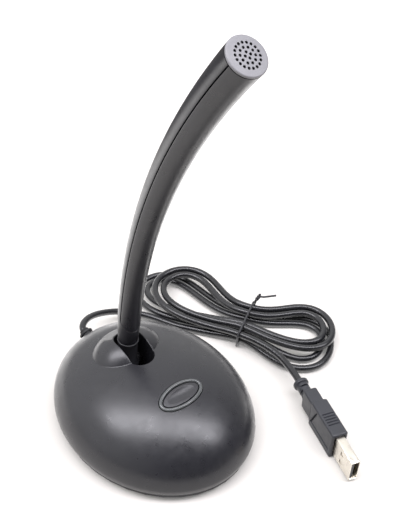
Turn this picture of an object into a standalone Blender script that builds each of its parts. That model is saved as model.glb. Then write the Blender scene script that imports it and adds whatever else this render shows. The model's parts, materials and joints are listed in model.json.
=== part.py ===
"""Desk microphone: a curved arm that tilts in a weighted dome base, with a push button and a tied cable.

Units are metres, +Z is up and the front of the microphone faces -Y.
The origin lies on the table, under the middle of the base.
"""

import math

import bmesh
import bpy
import numpy as np
from mathutils import Matrix, Vector

MM = 0.001
DEG = math.pi / 180

# Clearances
GAP = 0.3 * MM                  # between pieces that seat on each other
HOLE_CLEARANCE = 0.35 * MM      # radial, round a screw or stem
LEAD_CLEARANCE = 0.5 * MM       # radial, round a lead
BALL_CLEARANCE = 0.6 * MM       # round the knuckle's ball in the slot

# Dome base
BASE_LENGTH = 104.0 * MM
BASE_WIDTH = 87.0 * MM
DOME_TOP = 34.6 * MM            # apex above the table
BELLY_Z = 8.0 * MM              # height of the widest outline
APEX_SETBACK = 3.2 * MM         # apex behind the middle of the base
SKIRT_TUCK = 1.2 * MM           # how far the skirt draws in below the belly
SHELL_WALL = 2.2 * MM
DOME_STEPS = 36

# Floor plate, feet and ballast
FOOT_STAND = 1.0 * MM           # feet stand this far below the plate
FOOT_HEIGHT = 1.6 * MM
FOOT_RADIUS = 5.5 * MM
FOOT_INSET_X = 26.0 * MM        # from the widest outline
FOOT_INSET_Y = 14.5 * MM
PLATE_THICKNESS = 2.6 * MM
PLATE_CHAMFER = 0.8 * MM
LIP_WIDTH = 1.4 * MM
LIP_HEIGHT = 1.8 * MM
BALLAST_MARGIN_X = 18.5 * MM    # from the inside of the shell
BALLAST_MARGIN_Y = 10.0 * MM
BALLAST_THICKNESS = 4.5 * MM
BALLAST_PEG_RADIUS = 2.6 * MM
BALLAST_PEGS = ((-0.526, 0.553), (0.439, -0.704))   # shares of its half width and half length

# Screws
HEAD_RADIUS = 2.4 * MM
HEAD_HEIGHT = 1.3 * MM
BALLAST_HEAD_RADIUS = 3.9 * MM
SHANK_RADIUS = 1.2 * MM
SCREW_BITE = 6.0 * MM           # thread in the boss
BALLAST_BITE = 4.6 * MM
RECESS_WIDTH = 0.7 * MM
RECESS_DEPTH = 0.7 * MM
BOSS_RADIUS = 3.3 * MM
BASE_BOSS_INSET_X = 16.5 * MM   # from the widest outline
BASE_BOSS_INSET_Y = 26.0 * MM

# Tilt hinge
PIVOT_Y = 19.8 * MM
PIVOT_Z = 21.0 * MM
HUMP_Y = 18.7 * MM
HUMP_HALF = (19.4 * MM, 16.5 * MM, 18.0 * MM)
SLOT_WIDTH = 12.4 * MM
SLOT_FRONT_Y = 3.5 * MM
WELL_WALL = 2.8 * MM
WELL_BOTTOM = 13.5 * MM
TRUNNION_RADIUS = 3.0 * MM
TRUNNION_END = 10.4 * MM        # half the length over both trunnions
BUSH_WALL = 0.9 * MM
CLAMP_THICKNESS = 2.3 * MM

# Arm
NECK_LENGTH = 17.0 * MM         # pivot to the socket's rim
SOCKET_LIP = 0.35 * MM          # the rim stands out this far
SOCKET_DEPTH = 8.5 * MM
ARM_LENGTH = 184.0 * MM         # socket's rim to the front of the end cap
ARM_FOOT_LEAN = 3.0 * DEG
ARM_TIP_LEAN = 36.3 * DEG
ARM_FOOT_RADIUS = 5.2 * MM
ARM_TIP_RADIUS = 7.5 * MM
ARM_TAPER = 1.4                 # power of the taper along the arm
ARM_WALL = 1.6 * MM
ARM_FLOOR = 2.0 * MM            # web at the foot above the spigot
SPIGOT_WALL = 1.3 * MM
BORE_SIDES = 12
SEAM_START = 15.0 * MM          # front shell starts here on the flanks
SEAM_DROP = 1.35                # slope of the front shell's lower edge

# End cap and capsule
CAP_RIM = 2.3 * MM
CAP_CROWN = 0.35 * MM
CAP_ROUND = 0.8 * MM
CAP_FACE = 1.6 * MM             # thickness over the sound chamber
CAP_SPIGOT_LENGTH = 6.5 * MM
CAP_SPIGOT_WALL = 0.7 * MM
CAP_HOLE_RADIUS = 0.46 * MM
CAP_HOLE_RINGS = ((1.05 * MM, 4), (2.63 * MM, 10), (4.25 * MM, 18))
CAPSULE_RADIUS = 3.0 * MM
CAPSULE_LENGTH = 2.7 * MM
BOOT_LENGTH = 5.6 * MM
LEAD_RADIUS = 1.0 * MM

# Button
BUTTON_Y = -18.6 * MM
BEZEL_HALF_LENGTH = 10.9 * MM   # to the middle of the bead
BEZEL_HALF_WIDTH = 5.2 * MM
BEAD_RADIUS = 0.8 * MM
BUTTON_PROUD = 0.3 * MM
BUTTON_DISH = 1.1 * MM
BUTTON_DISH_RIM = 0.6 * MM      # flat left round the dish
BUTTON_TRAVEL = 0.8 * MM
FLANGE_LIP = 0.8 * MM           # flange reaches this far under the shell
FLANGE_DEPTH = 3.7 * MM         # flange's top below the dome's surface
FLANGE_THICKNESS = 1.0 * MM
STEM_RADIUS = 2.0 * MM
STEM_LENGTH = 1.6 * MM

# Switch and circuit board
SWITCH_SIDE = 6.0 * MM
SWITCH_HEIGHT = 3.6 * MM
PLUNGER_RADIUS = 1.7 * MM
PLUNGER_LENGTH = 2.2 * MM
PLUNGER_PROUD = 1.3 * MM
PCB_WIDTH = 38.0 * MM
PCB_FRONT = 13.0 * MM           # board ahead of the button's axis
PCB_REAR = 8.0 * MM             # board behind it
PCB_THICKNESS = 1.6 * MM
PCB_BOSS_RADIUS = 2.6 * MM
PCB_BOSS_INSET = 3.0 * MM       # from the board's ends
CHIP_SIZE = (7.0 * MM, 7.0 * MM, 1.2 * MM)
CHIP_PLACE = (-7.0 * MM, -6.0 * MM)
CRYSTAL_SIZE = (9.0 * MM, 3.8 * MM, 2.8 * MM)
CRYSTAL_PLACE = (-1.0 * MM, 4.0 * MM)
USB_HEADER_SIZE = (7.0 * MM, 4.4 * MM, 3.4 * MM)
USB_HEADER_PLACE = (10.0 * MM, 3.0 * MM)
MIC_HEADER_SIZE = (5.0 * MM, 4.0 * MM, 3.0 * MM)
MIC_HEADER_PLACE = (-11.5 * MM, 3.5 * MM)
CAPACITOR_RADIUS = 2.5 * MM
CAPACITOR_LENGTH = 5.5 * MM
CAPACITOR_PLACE = (7.5 * MM, -8.0 * MM)

# Strain relief
CORD_RADIUS = 1.75 * MM
RELIEF_Z = 14.5 * MM
RELIEF_RISE = 18.0 * DEG
RELIEF_FLANGE_RADIUS = 3.5 * MM
RELIEF_FLANGE_THICKNESS = 1.1 * MM
RELIEF_NECK_RADIUS = 2.7 * MM
RELIEF_SLEEVE = 5.0 * MM        # from the dome's surface to the sleeve's end
RELIEF_STANDOFF = 0.9 * MM      # dome's surface to the outer flange
RELIEF_GRIP = 3.5 * MM          # dome's surface to the inner flange
RELIEF_SLEEVE_WALL = 0.5 * MM

# Hank of cable: u runs along it and w across it, both from the tie
HANK_PLACE = (73.1 * MM, 15.9 * MM)
HANK_HEADING = -61.5 * DEG
HANK_TURNS = 4.072
HANK_START = 246.0 * DEG        # phase of its first point
HANK_PITCH = 4.6 * MM           # from one loop to the next
WAIST_HALF = 2.25 * MM          # innermost loop at the tie
LEFT_REACH = (51.0 * MM, 39.0 * MM)     # innermost loop of the lower and the upper layer
LEFT_LOBE = (27.0 * MM, 24.0 * MM)
LEFT_SWAY = (15.0 * MM, 14.0 * MM)      # the lobes bend away from the base
RIGHT_REACH = (37.0 * MM, 37.5 * MM)
RIGHT_LOBE = (27.0 * MM, 27.0 * MM)
RIGHT_SWAY = (2.5 * MM, 4.5 * MM)
LOOSE_LOOPS = ((0.26, 0.22, 5.5 * MM), (3.44, 0.22, 4.0 * MM), (4.15, 0.15, 2.0 * MM))   # turn, width, swell
LAYER_STEP = 4.4 * MM
TOP_LIFT = 2.0 * MM             # the upper left lobe stands up this much more
CLIMB_TURNS = 0.5
REVERSAL = 0.1                  # turns over which the spiral turns back
HANK_LOW = 2.2 * MM             # lower layer's middle above the table
WAIST_RISE = 1.5 * MM           # the tie lifts the waist
WAIST_RISE_LENGTH = 10.0 * MM
HANK_POINTS_PER_TURN = 24

# Tie
TIE_RADIUS = 0.55 * MM
TIE_TAIL = ((3.0, 15.5, 14.0), (7.5, 20.5, 15.0), (12.0, 24.5, 15.5))   # u, w, z in millimetres

# Plug
PLUG_PLACE = (49.4 * MM, -72.2 * MM)
PLUG_HEADING = -110.7 * DEG
OVERMOLD_LENGTH = 22.0 * MM
OVERMOLD_WIDTH = 8.0 * MM
OVERMOLD_HEIGHT = 15.4 * MM
OVERMOLD_ROUND = 1.0 * MM
NECK_BLOCK_LENGTH = 9.3 * MM
NECK_BLOCK_WIDTH = 6.8 * MM
NECK_BLOCK_HEIGHT = 11.6 * MM
PLUG_RELIEF_LENGTH = 9.0 * MM
PLUG_RELIEF_RADIUS = 3.0 * MM
PLUG_RING_RADIUS = 3.8 * MM
PLUG_RING_LENGTH = 2.0 * MM
PLUG_SLOT_WIDTH = 1.0 * MM
PLUG_SLOT_DEPTH = 1.1 * MM
GRIP_GROOVES = 5
GRIP_PITCH = 1.6 * MM
GRIP_FROM_FRONT = 6.2 * MM
GROOVE_WIDTH = 0.6 * MM
GROOVE_DEPTH = 0.5 * MM
PANEL_LOW = 3.4 * MM            # panel's lower edge below the plug's axis
PANEL_HIGH = 5.4 * MM           # top of its slanted edge above the axis
PANEL_REAR = 20.0 * MM          # from the overmold's front
PANEL_SLANT = 3.7 * MM
PANEL_FRONT = 2.0 * MM
USB_HEIGHT = 12.0 * MM
USB_THICKNESS = 4.5 * MM
USB_WALL = 0.4 * MM
USB_LENGTH = 15.0 * MM
USB_SUNK = 6.0 * MM             # length inside the overmold
WINDOW_SIDE = 2.3 * MM
WINDOW_SPACING = 5.4 * MM
WINDOW_FROM_TIP = 7.0 * MM
TONGUE_THICKNESS = 1.5 * MM
TONGUE_SETBACK = 0.8 * MM
CONTACT_WIDTH = 1.0 * MM
CONTACT_THICKNESS = 0.25 * MM
CONTACT_LENGTH = 8.5 * MM
CONTACT_PITCH = 2.3 * MM

# Routes of the free cable, x, y and z in millimetres
LEAD_ROUTE = ((1.3, 60.2, 16.3), (5.0, 63.3, 14.8), (10.0, 65.4, 12.0), (17.8, 66.2, 7.8),
              (28.0, 64.4, 4.3), (36.0, 58.6, 2.8), (41.0, 50.0, 2.3))
# and of the run to the plug in the hank's u, w and z
TAIL_ROUTE = ((13.0, -14.6, 8.6), (20.0, -16.9, 8.6), (27.0, -20.4, 8.2), (33.0, -25.3, 7.8))

# Routes inside the base, x, y and z in millimetres
USB_INNER_ROUTE = ((5.5, 41.0, 11.0), (13.5, 34.5, 10.7), (18.6, 22.0, 10.7), (19.2, 8.0, 10.7),
                   (16.0, -4.0, 10.8))
MIC_BASE_ROUTE = ((-15.5, 17.5, 20.3), (-17.0, 9.0, 18.2), (-15.8, -1.0, 15.8))

# Values worked out from the sizes above
HALF_LENGTH = BASE_LENGTH / 2
HALF_WIDTH = BASE_WIDTH / 2
DOME_RISE = DOME_TOP - BELLY_Z
DOME_SHEAR = APEX_SETBACK / DOME_RISE
PLATE_TOP = FOOT_STAND + PLATE_THICKNESS
SHELL_RIM_Z = PLATE_TOP + GAP
BALLAST_BOTTOM = PLATE_TOP + GAP
BALLAST_TOP = BALLAST_BOTTOM + BALLAST_THICKNESS
BALLAST_HALF_X = HALF_WIDTH - SHELL_WALL - BALLAST_MARGIN_X
BALLAST_HALF_Y = HALF_LENGTH - SHELL_WALL - BALLAST_MARGIN_Y
PEG_PLACES = [(x * BALLAST_HALF_X, y * BALLAST_HALF_Y) for x, y in BALLAST_PEGS]
SLOT_HALF = SLOT_WIDTH / 2
SLOT_TOP = DOME_TOP + HUMP_HALF[2]
BALL_RADIUS = SLOT_HALF - BALL_CLEARANCE
WELL_HALF = SLOT_HALF + WELL_WALL
BUSH_BORE = TRUNNION_RADIUS + GAP
BUSH_RADIUS = BUSH_BORE + BUSH_WALL
SEAT_RADIUS = BUSH_RADIUS + GAP
CLAMP_TOP = WELL_BOTTOM - GAP
CLAMP_BOSS_Y = (SLOT_FRONT_Y - WELL_WALL - 0.7 * BOSS_RADIUS, PIVOT_Y + WELL_HALF + 0.7 * BOSS_RADIUS)
SPIGOT_RADIUS = ARM_FOOT_RADIUS - ARM_WALL - GAP
SPIGOT_BORE = SPIGOT_RADIUS - SPIGOT_WALL
ARM_BEND = ARM_LENGTH / (ARM_TIP_LEAN - ARM_FOOT_LEAN)
SHELL_END = ARM_LENGTH - CAP_RIM - GAP
HOLE_HALF_LENGTH = BEZEL_HALF_LENGTH - BEAD_RADIUS
HOLE_HALF_WIDTH = BEZEL_HALF_WIDTH - BEAD_RADIUS
CAP_HALF_LENGTH = HOLE_HALF_LENGTH - HOLE_CLEARANCE
CAP_HALF_WIDTH = HOLE_HALF_WIDTH - HOLE_CLEARANCE
FLANGE_BOTTOM = -FLANGE_DEPTH - FLANGE_THICKNESS
STEM_BOTTOM = FLANGE_BOTTOM - STEM_LENGTH
PLUNGER_TOP = STEM_BOTTOM - GAP
SWITCH_TOP = PLUNGER_TOP - PLUNGER_PROUD
SWITCH_BOTTOM = SWITCH_TOP - SWITCH_HEIGHT
PCB_TOP = SWITCH_BOTTOM - GAP
PCB_BOTTOM = PCB_TOP - PCB_THICKNESS
PARTS_TOP = PCB_BOTTOM - GAP    # components hang below the board
PLUG_Z = OVERMOLD_HEIGHT / 2
PLUG_END = -(OVERMOLD_LENGTH + NECK_BLOCK_LENGTH + PLUG_RELIEF_LENGTH)
ALONG_X = Matrix.Rotation(math.pi / 2, 4, "Y")


# Scene helpers

def clear_scene():
    for item in list(bpy.data.objects):
        bpy.data.objects.remove(item, do_unlink=True)


def make_collection(name):
    group = bpy.data.collections.new(name)
    bpy.context.scene.collection.children.link(group)
    return group


clear_scene()
PARTS = make_collection("desk_microphone")
CUTTERS = make_collection("cutters")


def make_material(name, colour, roughness, metallic=0.0):
    material = bpy.data.materials.new(name)
    material.use_nodes = True
    shader = material.node_tree.nodes["Principled BSDF"]
    shader.inputs["Base Color"].default_value = (*colour, 1.0)
    shader.inputs["Roughness"].default_value = roughness
    shader.inputs["Metallic"].default_value = metallic
    return material


SATIN_BLACK = make_material("satin_black_plastic", (0.045, 0.045, 0.05), 0.42)
BLACK_PLASTIC = make_material("black_plastic", (0.03, 0.03, 0.033), 0.5)
GLOSS_BLACK = make_material("gloss_black_plastic", (0.05, 0.05, 0.055), 0.25)
GREY_PLASTIC = make_material("light_grey_plastic", (0.48, 0.48, 0.51), 0.5)
BLACK_RUBBER = make_material("black_rubber", (0.02, 0.02, 0.02), 0.8)
CABLE_JACKET = make_material("cable_jacket", (0.03, 0.03, 0.033), 0.4)
PLUG_PLASTIC = make_material("plug_overmold", (0.06, 0.062, 0.072), 0.55)
STEEL = make_material("steel", (0.55, 0.55, 0.56), 0.35, 1.0)
NICKEL = make_material("nickel", (0.8, 0.78, 0.72), 0.25, 1.0)
GOLD = make_material("gold_contact", (0.83, 0.65, 0.3), 0.3, 1.0)
BOARD = make_material("circuit_board", (0.03, 0.16, 0.07), 0.5)
NYLON = make_material("nylon", (0.75, 0.74, 0.7), 0.5)


def add_empty(name, location, rotation=(0.0, 0.0, 0.0)):
    empty = bpy.data.objects.new(name, None)
    empty.location = location
    empty.rotation_euler = rotation
    PARTS.objects.link(empty)
    bpy.context.view_layer.update()
    return empty


def add_part(name, data, material, parent=None, location=(0.0, 0.0, 0.0), rotation=(0.0, 0.0, 0.0)):
    """A finished piece, shaded smooth, in the microphone's collection."""
    part = bpy.data.objects.new(name, data)
    part.parent = parent
    part.location = location
    part.rotation_euler = rotation
    if not data.materials:
        data.materials.append(material)
    if isinstance(data, bpy.types.Mesh):
        data.shade_smooth()
        data.set_sharp_from_angle(angle=35 * DEG)
    PARTS.objects.link(part)
    bpy.context.view_layer.update()
    return part


def add_cutter(name, data, parent=None, location=(0.0, 0.0, 0.0), rotation=(0.0, 0.0, 0.0)):
    """A hidden shape that a Boolean cuts away, joins or keeps."""
    cutter = bpy.data.objects.new(name, data)
    cutter.parent = parent
    cutter.location = location
    cutter.rotation_euler = rotation
    cutter.hide_render = True
    cutter.display_type = "WIRE"
    CUTTERS.objects.link(cutter)
    bpy.context.view_layer.update()
    return cutter


def combine(target, tool, operation):
    modifier = target.modifiers.new(tool.name, "BOOLEAN")
    modifier.object = tool
    modifier.operation = operation
    modifier.solver = "EXACT"


def cut(target, *shape):
    combine(target, add_cutter(*shape), "DIFFERENCE")


def join(target, *shape):
    combine(target, add_cutter(*shape), "UNION")


def soften(target, width, segments=2):
    modifier = target.modifiers.new("rounded_edges", "BEVEL")
    modifier.width = width
    modifier.segments = segments
    modifier.limit_method = "ANGLE"
    modifier.angle_limit = 40 * DEG


# Shape helpers, each of which returns a mesh

def from_bmesh(bm):
    mesh = bpy.data.meshes.new("shape")
    bm.to_mesh(mesh)
    bm.free()
    return mesh


def bake(scratch):
    """The evaluated mesh of a scratch object, welded; the object is removed."""
    CUTTERS.objects.link(scratch)
    graph = bpy.context.evaluated_depsgraph_get()
    mesh = bpy.data.meshes.new_from_object(scratch.evaluated_get(graph))
    bpy.data.objects.remove(scratch, do_unlink=True)
    bm = bmesh.new()
    bm.from_mesh(mesh)
    bmesh.ops.remove_doubles(bm, verts=bm.verts, dist=1e-6)
    bm.to_mesh(mesh)
    bm.free()
    mesh.materials.clear()
    return mesh


def cylinder(radius, bottom, top, sides=24, top_radius=None):
    bm = bmesh.new()
    upper = radius if top_radius is None else top_radius
    height = top - bottom
    bmesh.ops.create_cone(bm, cap_ends=True, segments=sides, radius1=radius, radius2=upper, depth=height)
    bmesh.ops.translate(bm, verts=bm.verts, vec=(0.0, 0.0, (top + bottom) / 2))
    return from_bmesh(bm)


def box(low, high):
    size = [b - a for a, b in zip(low, high)]
    middle = [(a + b) / 2 for a, b in zip(low, high)]
    bm = bmesh.new()
    bmesh.ops.create_cube(bm, size=1.0)
    bmesh.ops.scale(bm, verts=bm.verts, vec=size)
    bmesh.ops.translate(bm, verts=bm.verts, vec=middle)
    return from_bmesh(bm)


def ellipsoid(half_axes, centre, around=36, rings=18):
    bm = bmesh.new()
    bmesh.ops.create_uvsphere(bm, u_segments=around, v_segments=rings, radius=1.0)
    bmesh.ops.scale(bm, verts=bm.verts, vec=half_axes)
    bmesh.ops.translate(bm, verts=bm.verts, vec=centre)
    return from_bmesh(bm)


def turned(profile, steps, closed=False):
    """A profile of (radius, height) points, from the top down its outer side, turned round Z."""
    mesh = bpy.data.meshes.new("profile")
    count = len(profile)
    edges = [(i, i + 1) for i in range(count - 1)]
    if closed:
        edges.append((count - 1, 0))
    mesh.from_pydata([(r, 0.0, z) for r, z in profile], edges, [])
    scratch = bpy.data.objects.new("turning", mesh)
    screw = scratch.modifiers.new("turn", "SCREW")
    screw.axis = "Z"
    screw.steps = steps
    screw.render_steps = steps
    screw.use_merge_vertices = True
    screw.merge_threshold = 1e-6
    return bake(scratch)


def prism(outline, bottom, top):
    """A flat outline in X and Y, filled and extruded from bottom to top."""
    curve = bpy.data.curves.new("outline", "CURVE")
    curve.dimensions = "2D"
    curve.fill_mode = "BOTH"
    curve.extrude = (top - bottom) / 2
    spline = curve.splines.new("POLY")
    spline.points.add(len(outline) - 1)
    for point, (x, y) in zip(spline.points, outline):
        point.co = (x, y, 0.0, 1.0)
    spline.use_cyclic_u = True
    mesh = bake(bpy.data.objects.new("outline", curve))
    mesh.transform(Matrix.Translation((0.0, 0.0, (top + bottom) / 2)))
    return mesh


def tube_curve(points, radius, resolution, swell=None, cyclic=False):
    """A round tube along straight steps between points; swell scales the radius at each point."""
    curve = bpy.data.curves.new("tube", "CURVE")
    curve.dimensions = "3D"
    curve.bevel_depth = radius
    curve.bevel_resolution = resolution
    curve.use_fill_caps = not cyclic
    spline = curve.splines.new("POLY")
    spline.points.add(len(points) - 1)
    for index, (point, place) in enumerate(zip(spline.points, points)):
        point.co = (*place, 1.0)
        point.radius = 1.0 if swell is None else swell[index]
    spline.use_cyclic_u = cyclic
    return curve


def tube(points, radius, resolution, swell=None, cyclic=False):
    return bake(bpy.data.objects.new("tube", tube_curve(points, radius, resolution, swell, cyclic)))


def stadium(half_width, front, rear, sides=12):
    """Outline of a slot along Y with round ends centred at front and rear."""
    turns = np.linspace(0.0, math.pi, sides + 1)
    rear_end = [(half_width * math.cos(a), rear + half_width * math.sin(a)) for a in turns]
    front_end = [(-half_width * math.cos(a), front - half_width * math.sin(a)) for a in turns]
    return rear_end + front_end


def scaled_in_x(mesh, factor):
    mesh.transform(Matrix.Diagonal((factor, 1.0, 1.0, 1.0)))
    return mesh


def oval_cylinder(half_x, half_y, bottom, top, sides=36):
    return scaled_in_x(cylinder(half_y, bottom, top, sides), half_x / half_y)


def screw_mesh(head_radius, length):
    """A pan head below the origin with a cross recess, and a shank of a given length above it."""
    profile = [(0.0, length), (0.6 * SHANK_RADIUS, length), (SHANK_RADIUS, length - SHANK_RADIUS),
               (SHANK_RADIUS, 0.0), (head_radius, 0.0), (head_radius, -0.6 * HEAD_HEIGHT),
               (0.75 * head_radius, -HEAD_HEIGHT), (0.0, -HEAD_HEIGHT)]
    scratch = bpy.data.objects.new("screw", turned(profile, 8))
    reach = 0.6 * head_radius
    bottom = -HEAD_HEIGHT - GAP
    top = -HEAD_HEIGHT + RECESS_DEPTH
    for name, x, y in (("recess_x", reach, RECESS_WIDTH / 2), ("recess_y", RECESS_WIDTH / 2, reach)):
        cut(scratch, name, box((-x, -y, bottom), (x, y, top)))
    return bake(scratch)


def smooth_route(points, count):
    """Points read evenly along a Catmull-Rom curve; the first and last steps of the route stay straight."""
    route = np.array(points, dtype=float)
    ends = np.vstack([2 * route[0] - route[1], route, 2 * route[-1] - route[-2]])
    dense = []
    fine = 40
    for a, b, c, d in zip(ends[:-3], ends[1:-2], ends[2:-1], ends[3:]):
        t = np.linspace(0.0, 1.0, fine, endpoint=False)[:, None]
        dense.append(0.5 * (2 * b + (c - a) * t + (2 * a - 5 * b + 4 * c - d) * t ** 2
                            + (3 * b - a - 3 * c + d) * t ** 3))
    dense = np.vstack([*dense, route[-1]])
    along = np.concatenate([[0.0], np.cumsum(np.linalg.norm(np.diff(dense, axis=0), axis=1))])
    wanted = np.linspace(along[fine], along[-1 - fine], count - 2)
    middle = np.stack([np.interp(wanted, along, dense[:, axis]) for axis in range(3)], axis=1)
    return np.vstack([route[0], middle, route[-1]])


def in_metres(points):
    return [Vector(point) * MM for point in points]


# The dome's form

def dome_profile(inset, bottom):
    radius = HALF_LENGTH - inset
    rise = DOME_RISE - inset
    angles = np.linspace(math.pi / 2, 0.0, 10)
    crown = [(radius * math.cos(a), BELLY_Z + rise * math.sin(a)) for a in angles]
    crown[0] = (0.0, crown[0][1])
    skirt = []
    for z in np.linspace(BELLY_Z, bottom, 4)[1:]:
        drop = (BELLY_Z - z) / (BELLY_Z - SHELL_RIM_Z)
        skirt.append((radius - SKIRT_TUCK * drop ** 2, z))
    return crown + skirt + [(0.0, bottom)]


def dome_solid(inset, bottom):
    """The dome less a depth all round: an oval that leans back towards its apex above the belly."""
    mesh = turned(dome_profile(inset, bottom), DOME_STEPS)
    scaled_in_x(mesh, (HALF_WIDTH - inset) / (HALF_LENGTH - inset))
    for vertex in mesh.vertices:
        vertex.co.y += DOME_SHEAR * max(vertex.co.z - BELLY_Z, 0.0)
    return mesh


def dome_height(x, y):
    """Height of the dome's surface above a place on the table."""
    a = DOME_SHEAR ** 2 / HALF_LENGTH ** 2 + 1 / DOME_RISE ** 2
    b = y * DOME_SHEAR / HALF_LENGTH ** 2
    c = (x / HALF_WIDTH) ** 2 + (y / HALF_LENGTH) ** 2 - 1
    return BELLY_Z + (b + math.sqrt(b * b - a * c)) / a


def dome_tilt(y):
    """Forward lean of the dome's normal on the centre line."""
    step = 0.1 * MM
    return math.atan2(dome_height(0.0, y + step) - dome_height(0.0, y - step), 2 * step)


# Frames that pieces are placed in

def arm_place(distance):
    """Frame on the arm's centre line, a distance past the socket's rim: Z runs along the arm."""
    lean = ARM_FOOT_LEAN + distance / ARM_BEND
    foot = NECK_LENGTH * Vector((0.0, -math.sin(ARM_FOOT_LEAN), math.cos(ARM_FOOT_LEAN)))
    y = -ARM_BEND * (math.cos(ARM_FOOT_LEAN) - math.cos(lean))
    z = ARM_BEND * (math.sin(lean) - math.sin(ARM_FOOT_LEAN))
    return Matrix.Translation(foot + Vector((0.0, y, z))) @ Matrix.Rotation(lean, 4, "X")


def arm_radius(distance):
    share = min(max(distance / ARM_LENGTH, 0.0), 1.0)
    return ARM_FOOT_RADIUS + (ARM_TIP_RADIUS - ARM_FOOT_RADIUS) * share ** ARM_TAPER


BUTTON_PLACE = Vector((0.0, BUTTON_Y, dome_height(0.0, BUTTON_Y)))
BUTTON_TILT = dome_tilt(BUTTON_Y)
BUTTON_FRAME = Matrix.Translation(BUTTON_PLACE) @ Matrix.Rotation(BUTTON_TILT, 4, "X")
RELIEF_ANGLE = math.asin((RELIEF_Z - BELLY_Z) / DOME_RISE)
RELIEF_Y = HALF_LENGTH * math.cos(RELIEF_ANGLE) + DOME_SHEAR * (RELIEF_Z - BELLY_Z)
RELIEF_PLACE = Vector((0.0, RELIEF_Y, RELIEF_Z))
RELIEF_AXIS = Vector((0.0, math.cos(RELIEF_RISE), math.sin(RELIEF_RISE)))
RELIEF_INNER_END = -RELIEF_GRIP - RELIEF_FLANGE_THICKNESS
PLUG_AXIS = Vector((math.cos(PLUG_HEADING), math.sin(PLUG_HEADING), 0.0))
PLUG_ORIGIN = Vector((*PLUG_PLACE, PLUG_Z))

ARM_PIVOT = add_empty("arm_pivot", (0.0, PIVOT_Y, PIVOT_Z))
BUTTON_AXIS = add_empty("button_axis", BUTTON_PLACE, (BUTTON_TILT, 0.0, 0.0))
PLUG_FRAME = add_empty("plug_frame", PLUG_ORIGIN, (0.0, 0.0, PLUG_HEADING))


# Base

def corner_places(inset_x, inset_y):
    x = HALF_WIDTH - inset_x
    y = HALF_LENGTH - inset_y
    return [(-x, -y), (x, -y), (-x, y), (x, y)]


BASE_BOSSES = corner_places(BASE_BOSS_INSET_X, BASE_BOSS_INSET_Y)
FOOT_PLACES = corner_places(FOOT_INSET_X, FOOT_INSET_Y)
PCB_BOSS_X = PCB_WIDTH / 2 - PCB_BOSS_INSET
SCREW_HOLE = SHANK_RADIUS + HOLE_CLEARANCE


def bezel_path(count=32):
    """Points of the button's oval outline on the dome, in the button's frame."""
    points = []
    for turn in np.linspace(0.0, 2 * math.pi, count, endpoint=False):
        x = BEZEL_HALF_LENGTH * math.cos(turn)
        y = BEZEL_HALF_WIDTH * math.sin(turn)
        z = 0.0
        for _ in range(8):
            place = BUTTON_FRAME @ Vector((x, y, z))
            z += (dome_height(place.x, place.y) - place.z) * math.cos(BUTTON_TILT)
        points.append((x, y, z))
    return points


def shell_cavity():
    """Inside of the shell: the dome and hump less their wall, around the well and the bosses."""
    cavity = add_cutter("cavity", dome_solid(SHELL_WALL, SHELL_RIM_Z - 1 * MM))
    inner_half = [half - SHELL_WALL for half in HUMP_HALF]
    hump = add_cutter("cavity_hump", ellipsoid(inner_half, (0.0, HUMP_Y, PIVOT_Z), 24, 12))
    combine(cavity, hump, "UNION")
    front = SLOT_FRONT_Y + SLOT_HALF
    cut(cavity, "well_wall", prism(stadium(WELL_HALF, front, PIVOT_Y), WELL_BOTTOM, SLOT_TOP))
    for index, (x, y) in enumerate(BASE_BOSSES):
        boss = cylinder(BOSS_RADIUS, SHELL_RIM_Z, DOME_TOP, 16)
        cut(cavity, f"base_boss_{index + 1}", boss, None, (x, y, 0))
    for index, y in enumerate(CLAMP_BOSS_Y):
        boss = cylinder(BOSS_RADIUS, WELL_BOTTOM, DOME_TOP, 16)
        cut(cavity, f"clamp_boss_{index + 1}", boss, None, (0, y, 0))
    for index, x in enumerate((-PCB_BOSS_X, PCB_BOSS_X)):
        post = cylinder(PCB_BOSS_RADIUS, PCB_TOP + GAP, 4 * SHELL_WALL, 16)
        cut(cavity, f"pcb_boss_{index + 1}", post, BUTTON_AXIS, (x, 0, 0))
    return cavity


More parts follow.
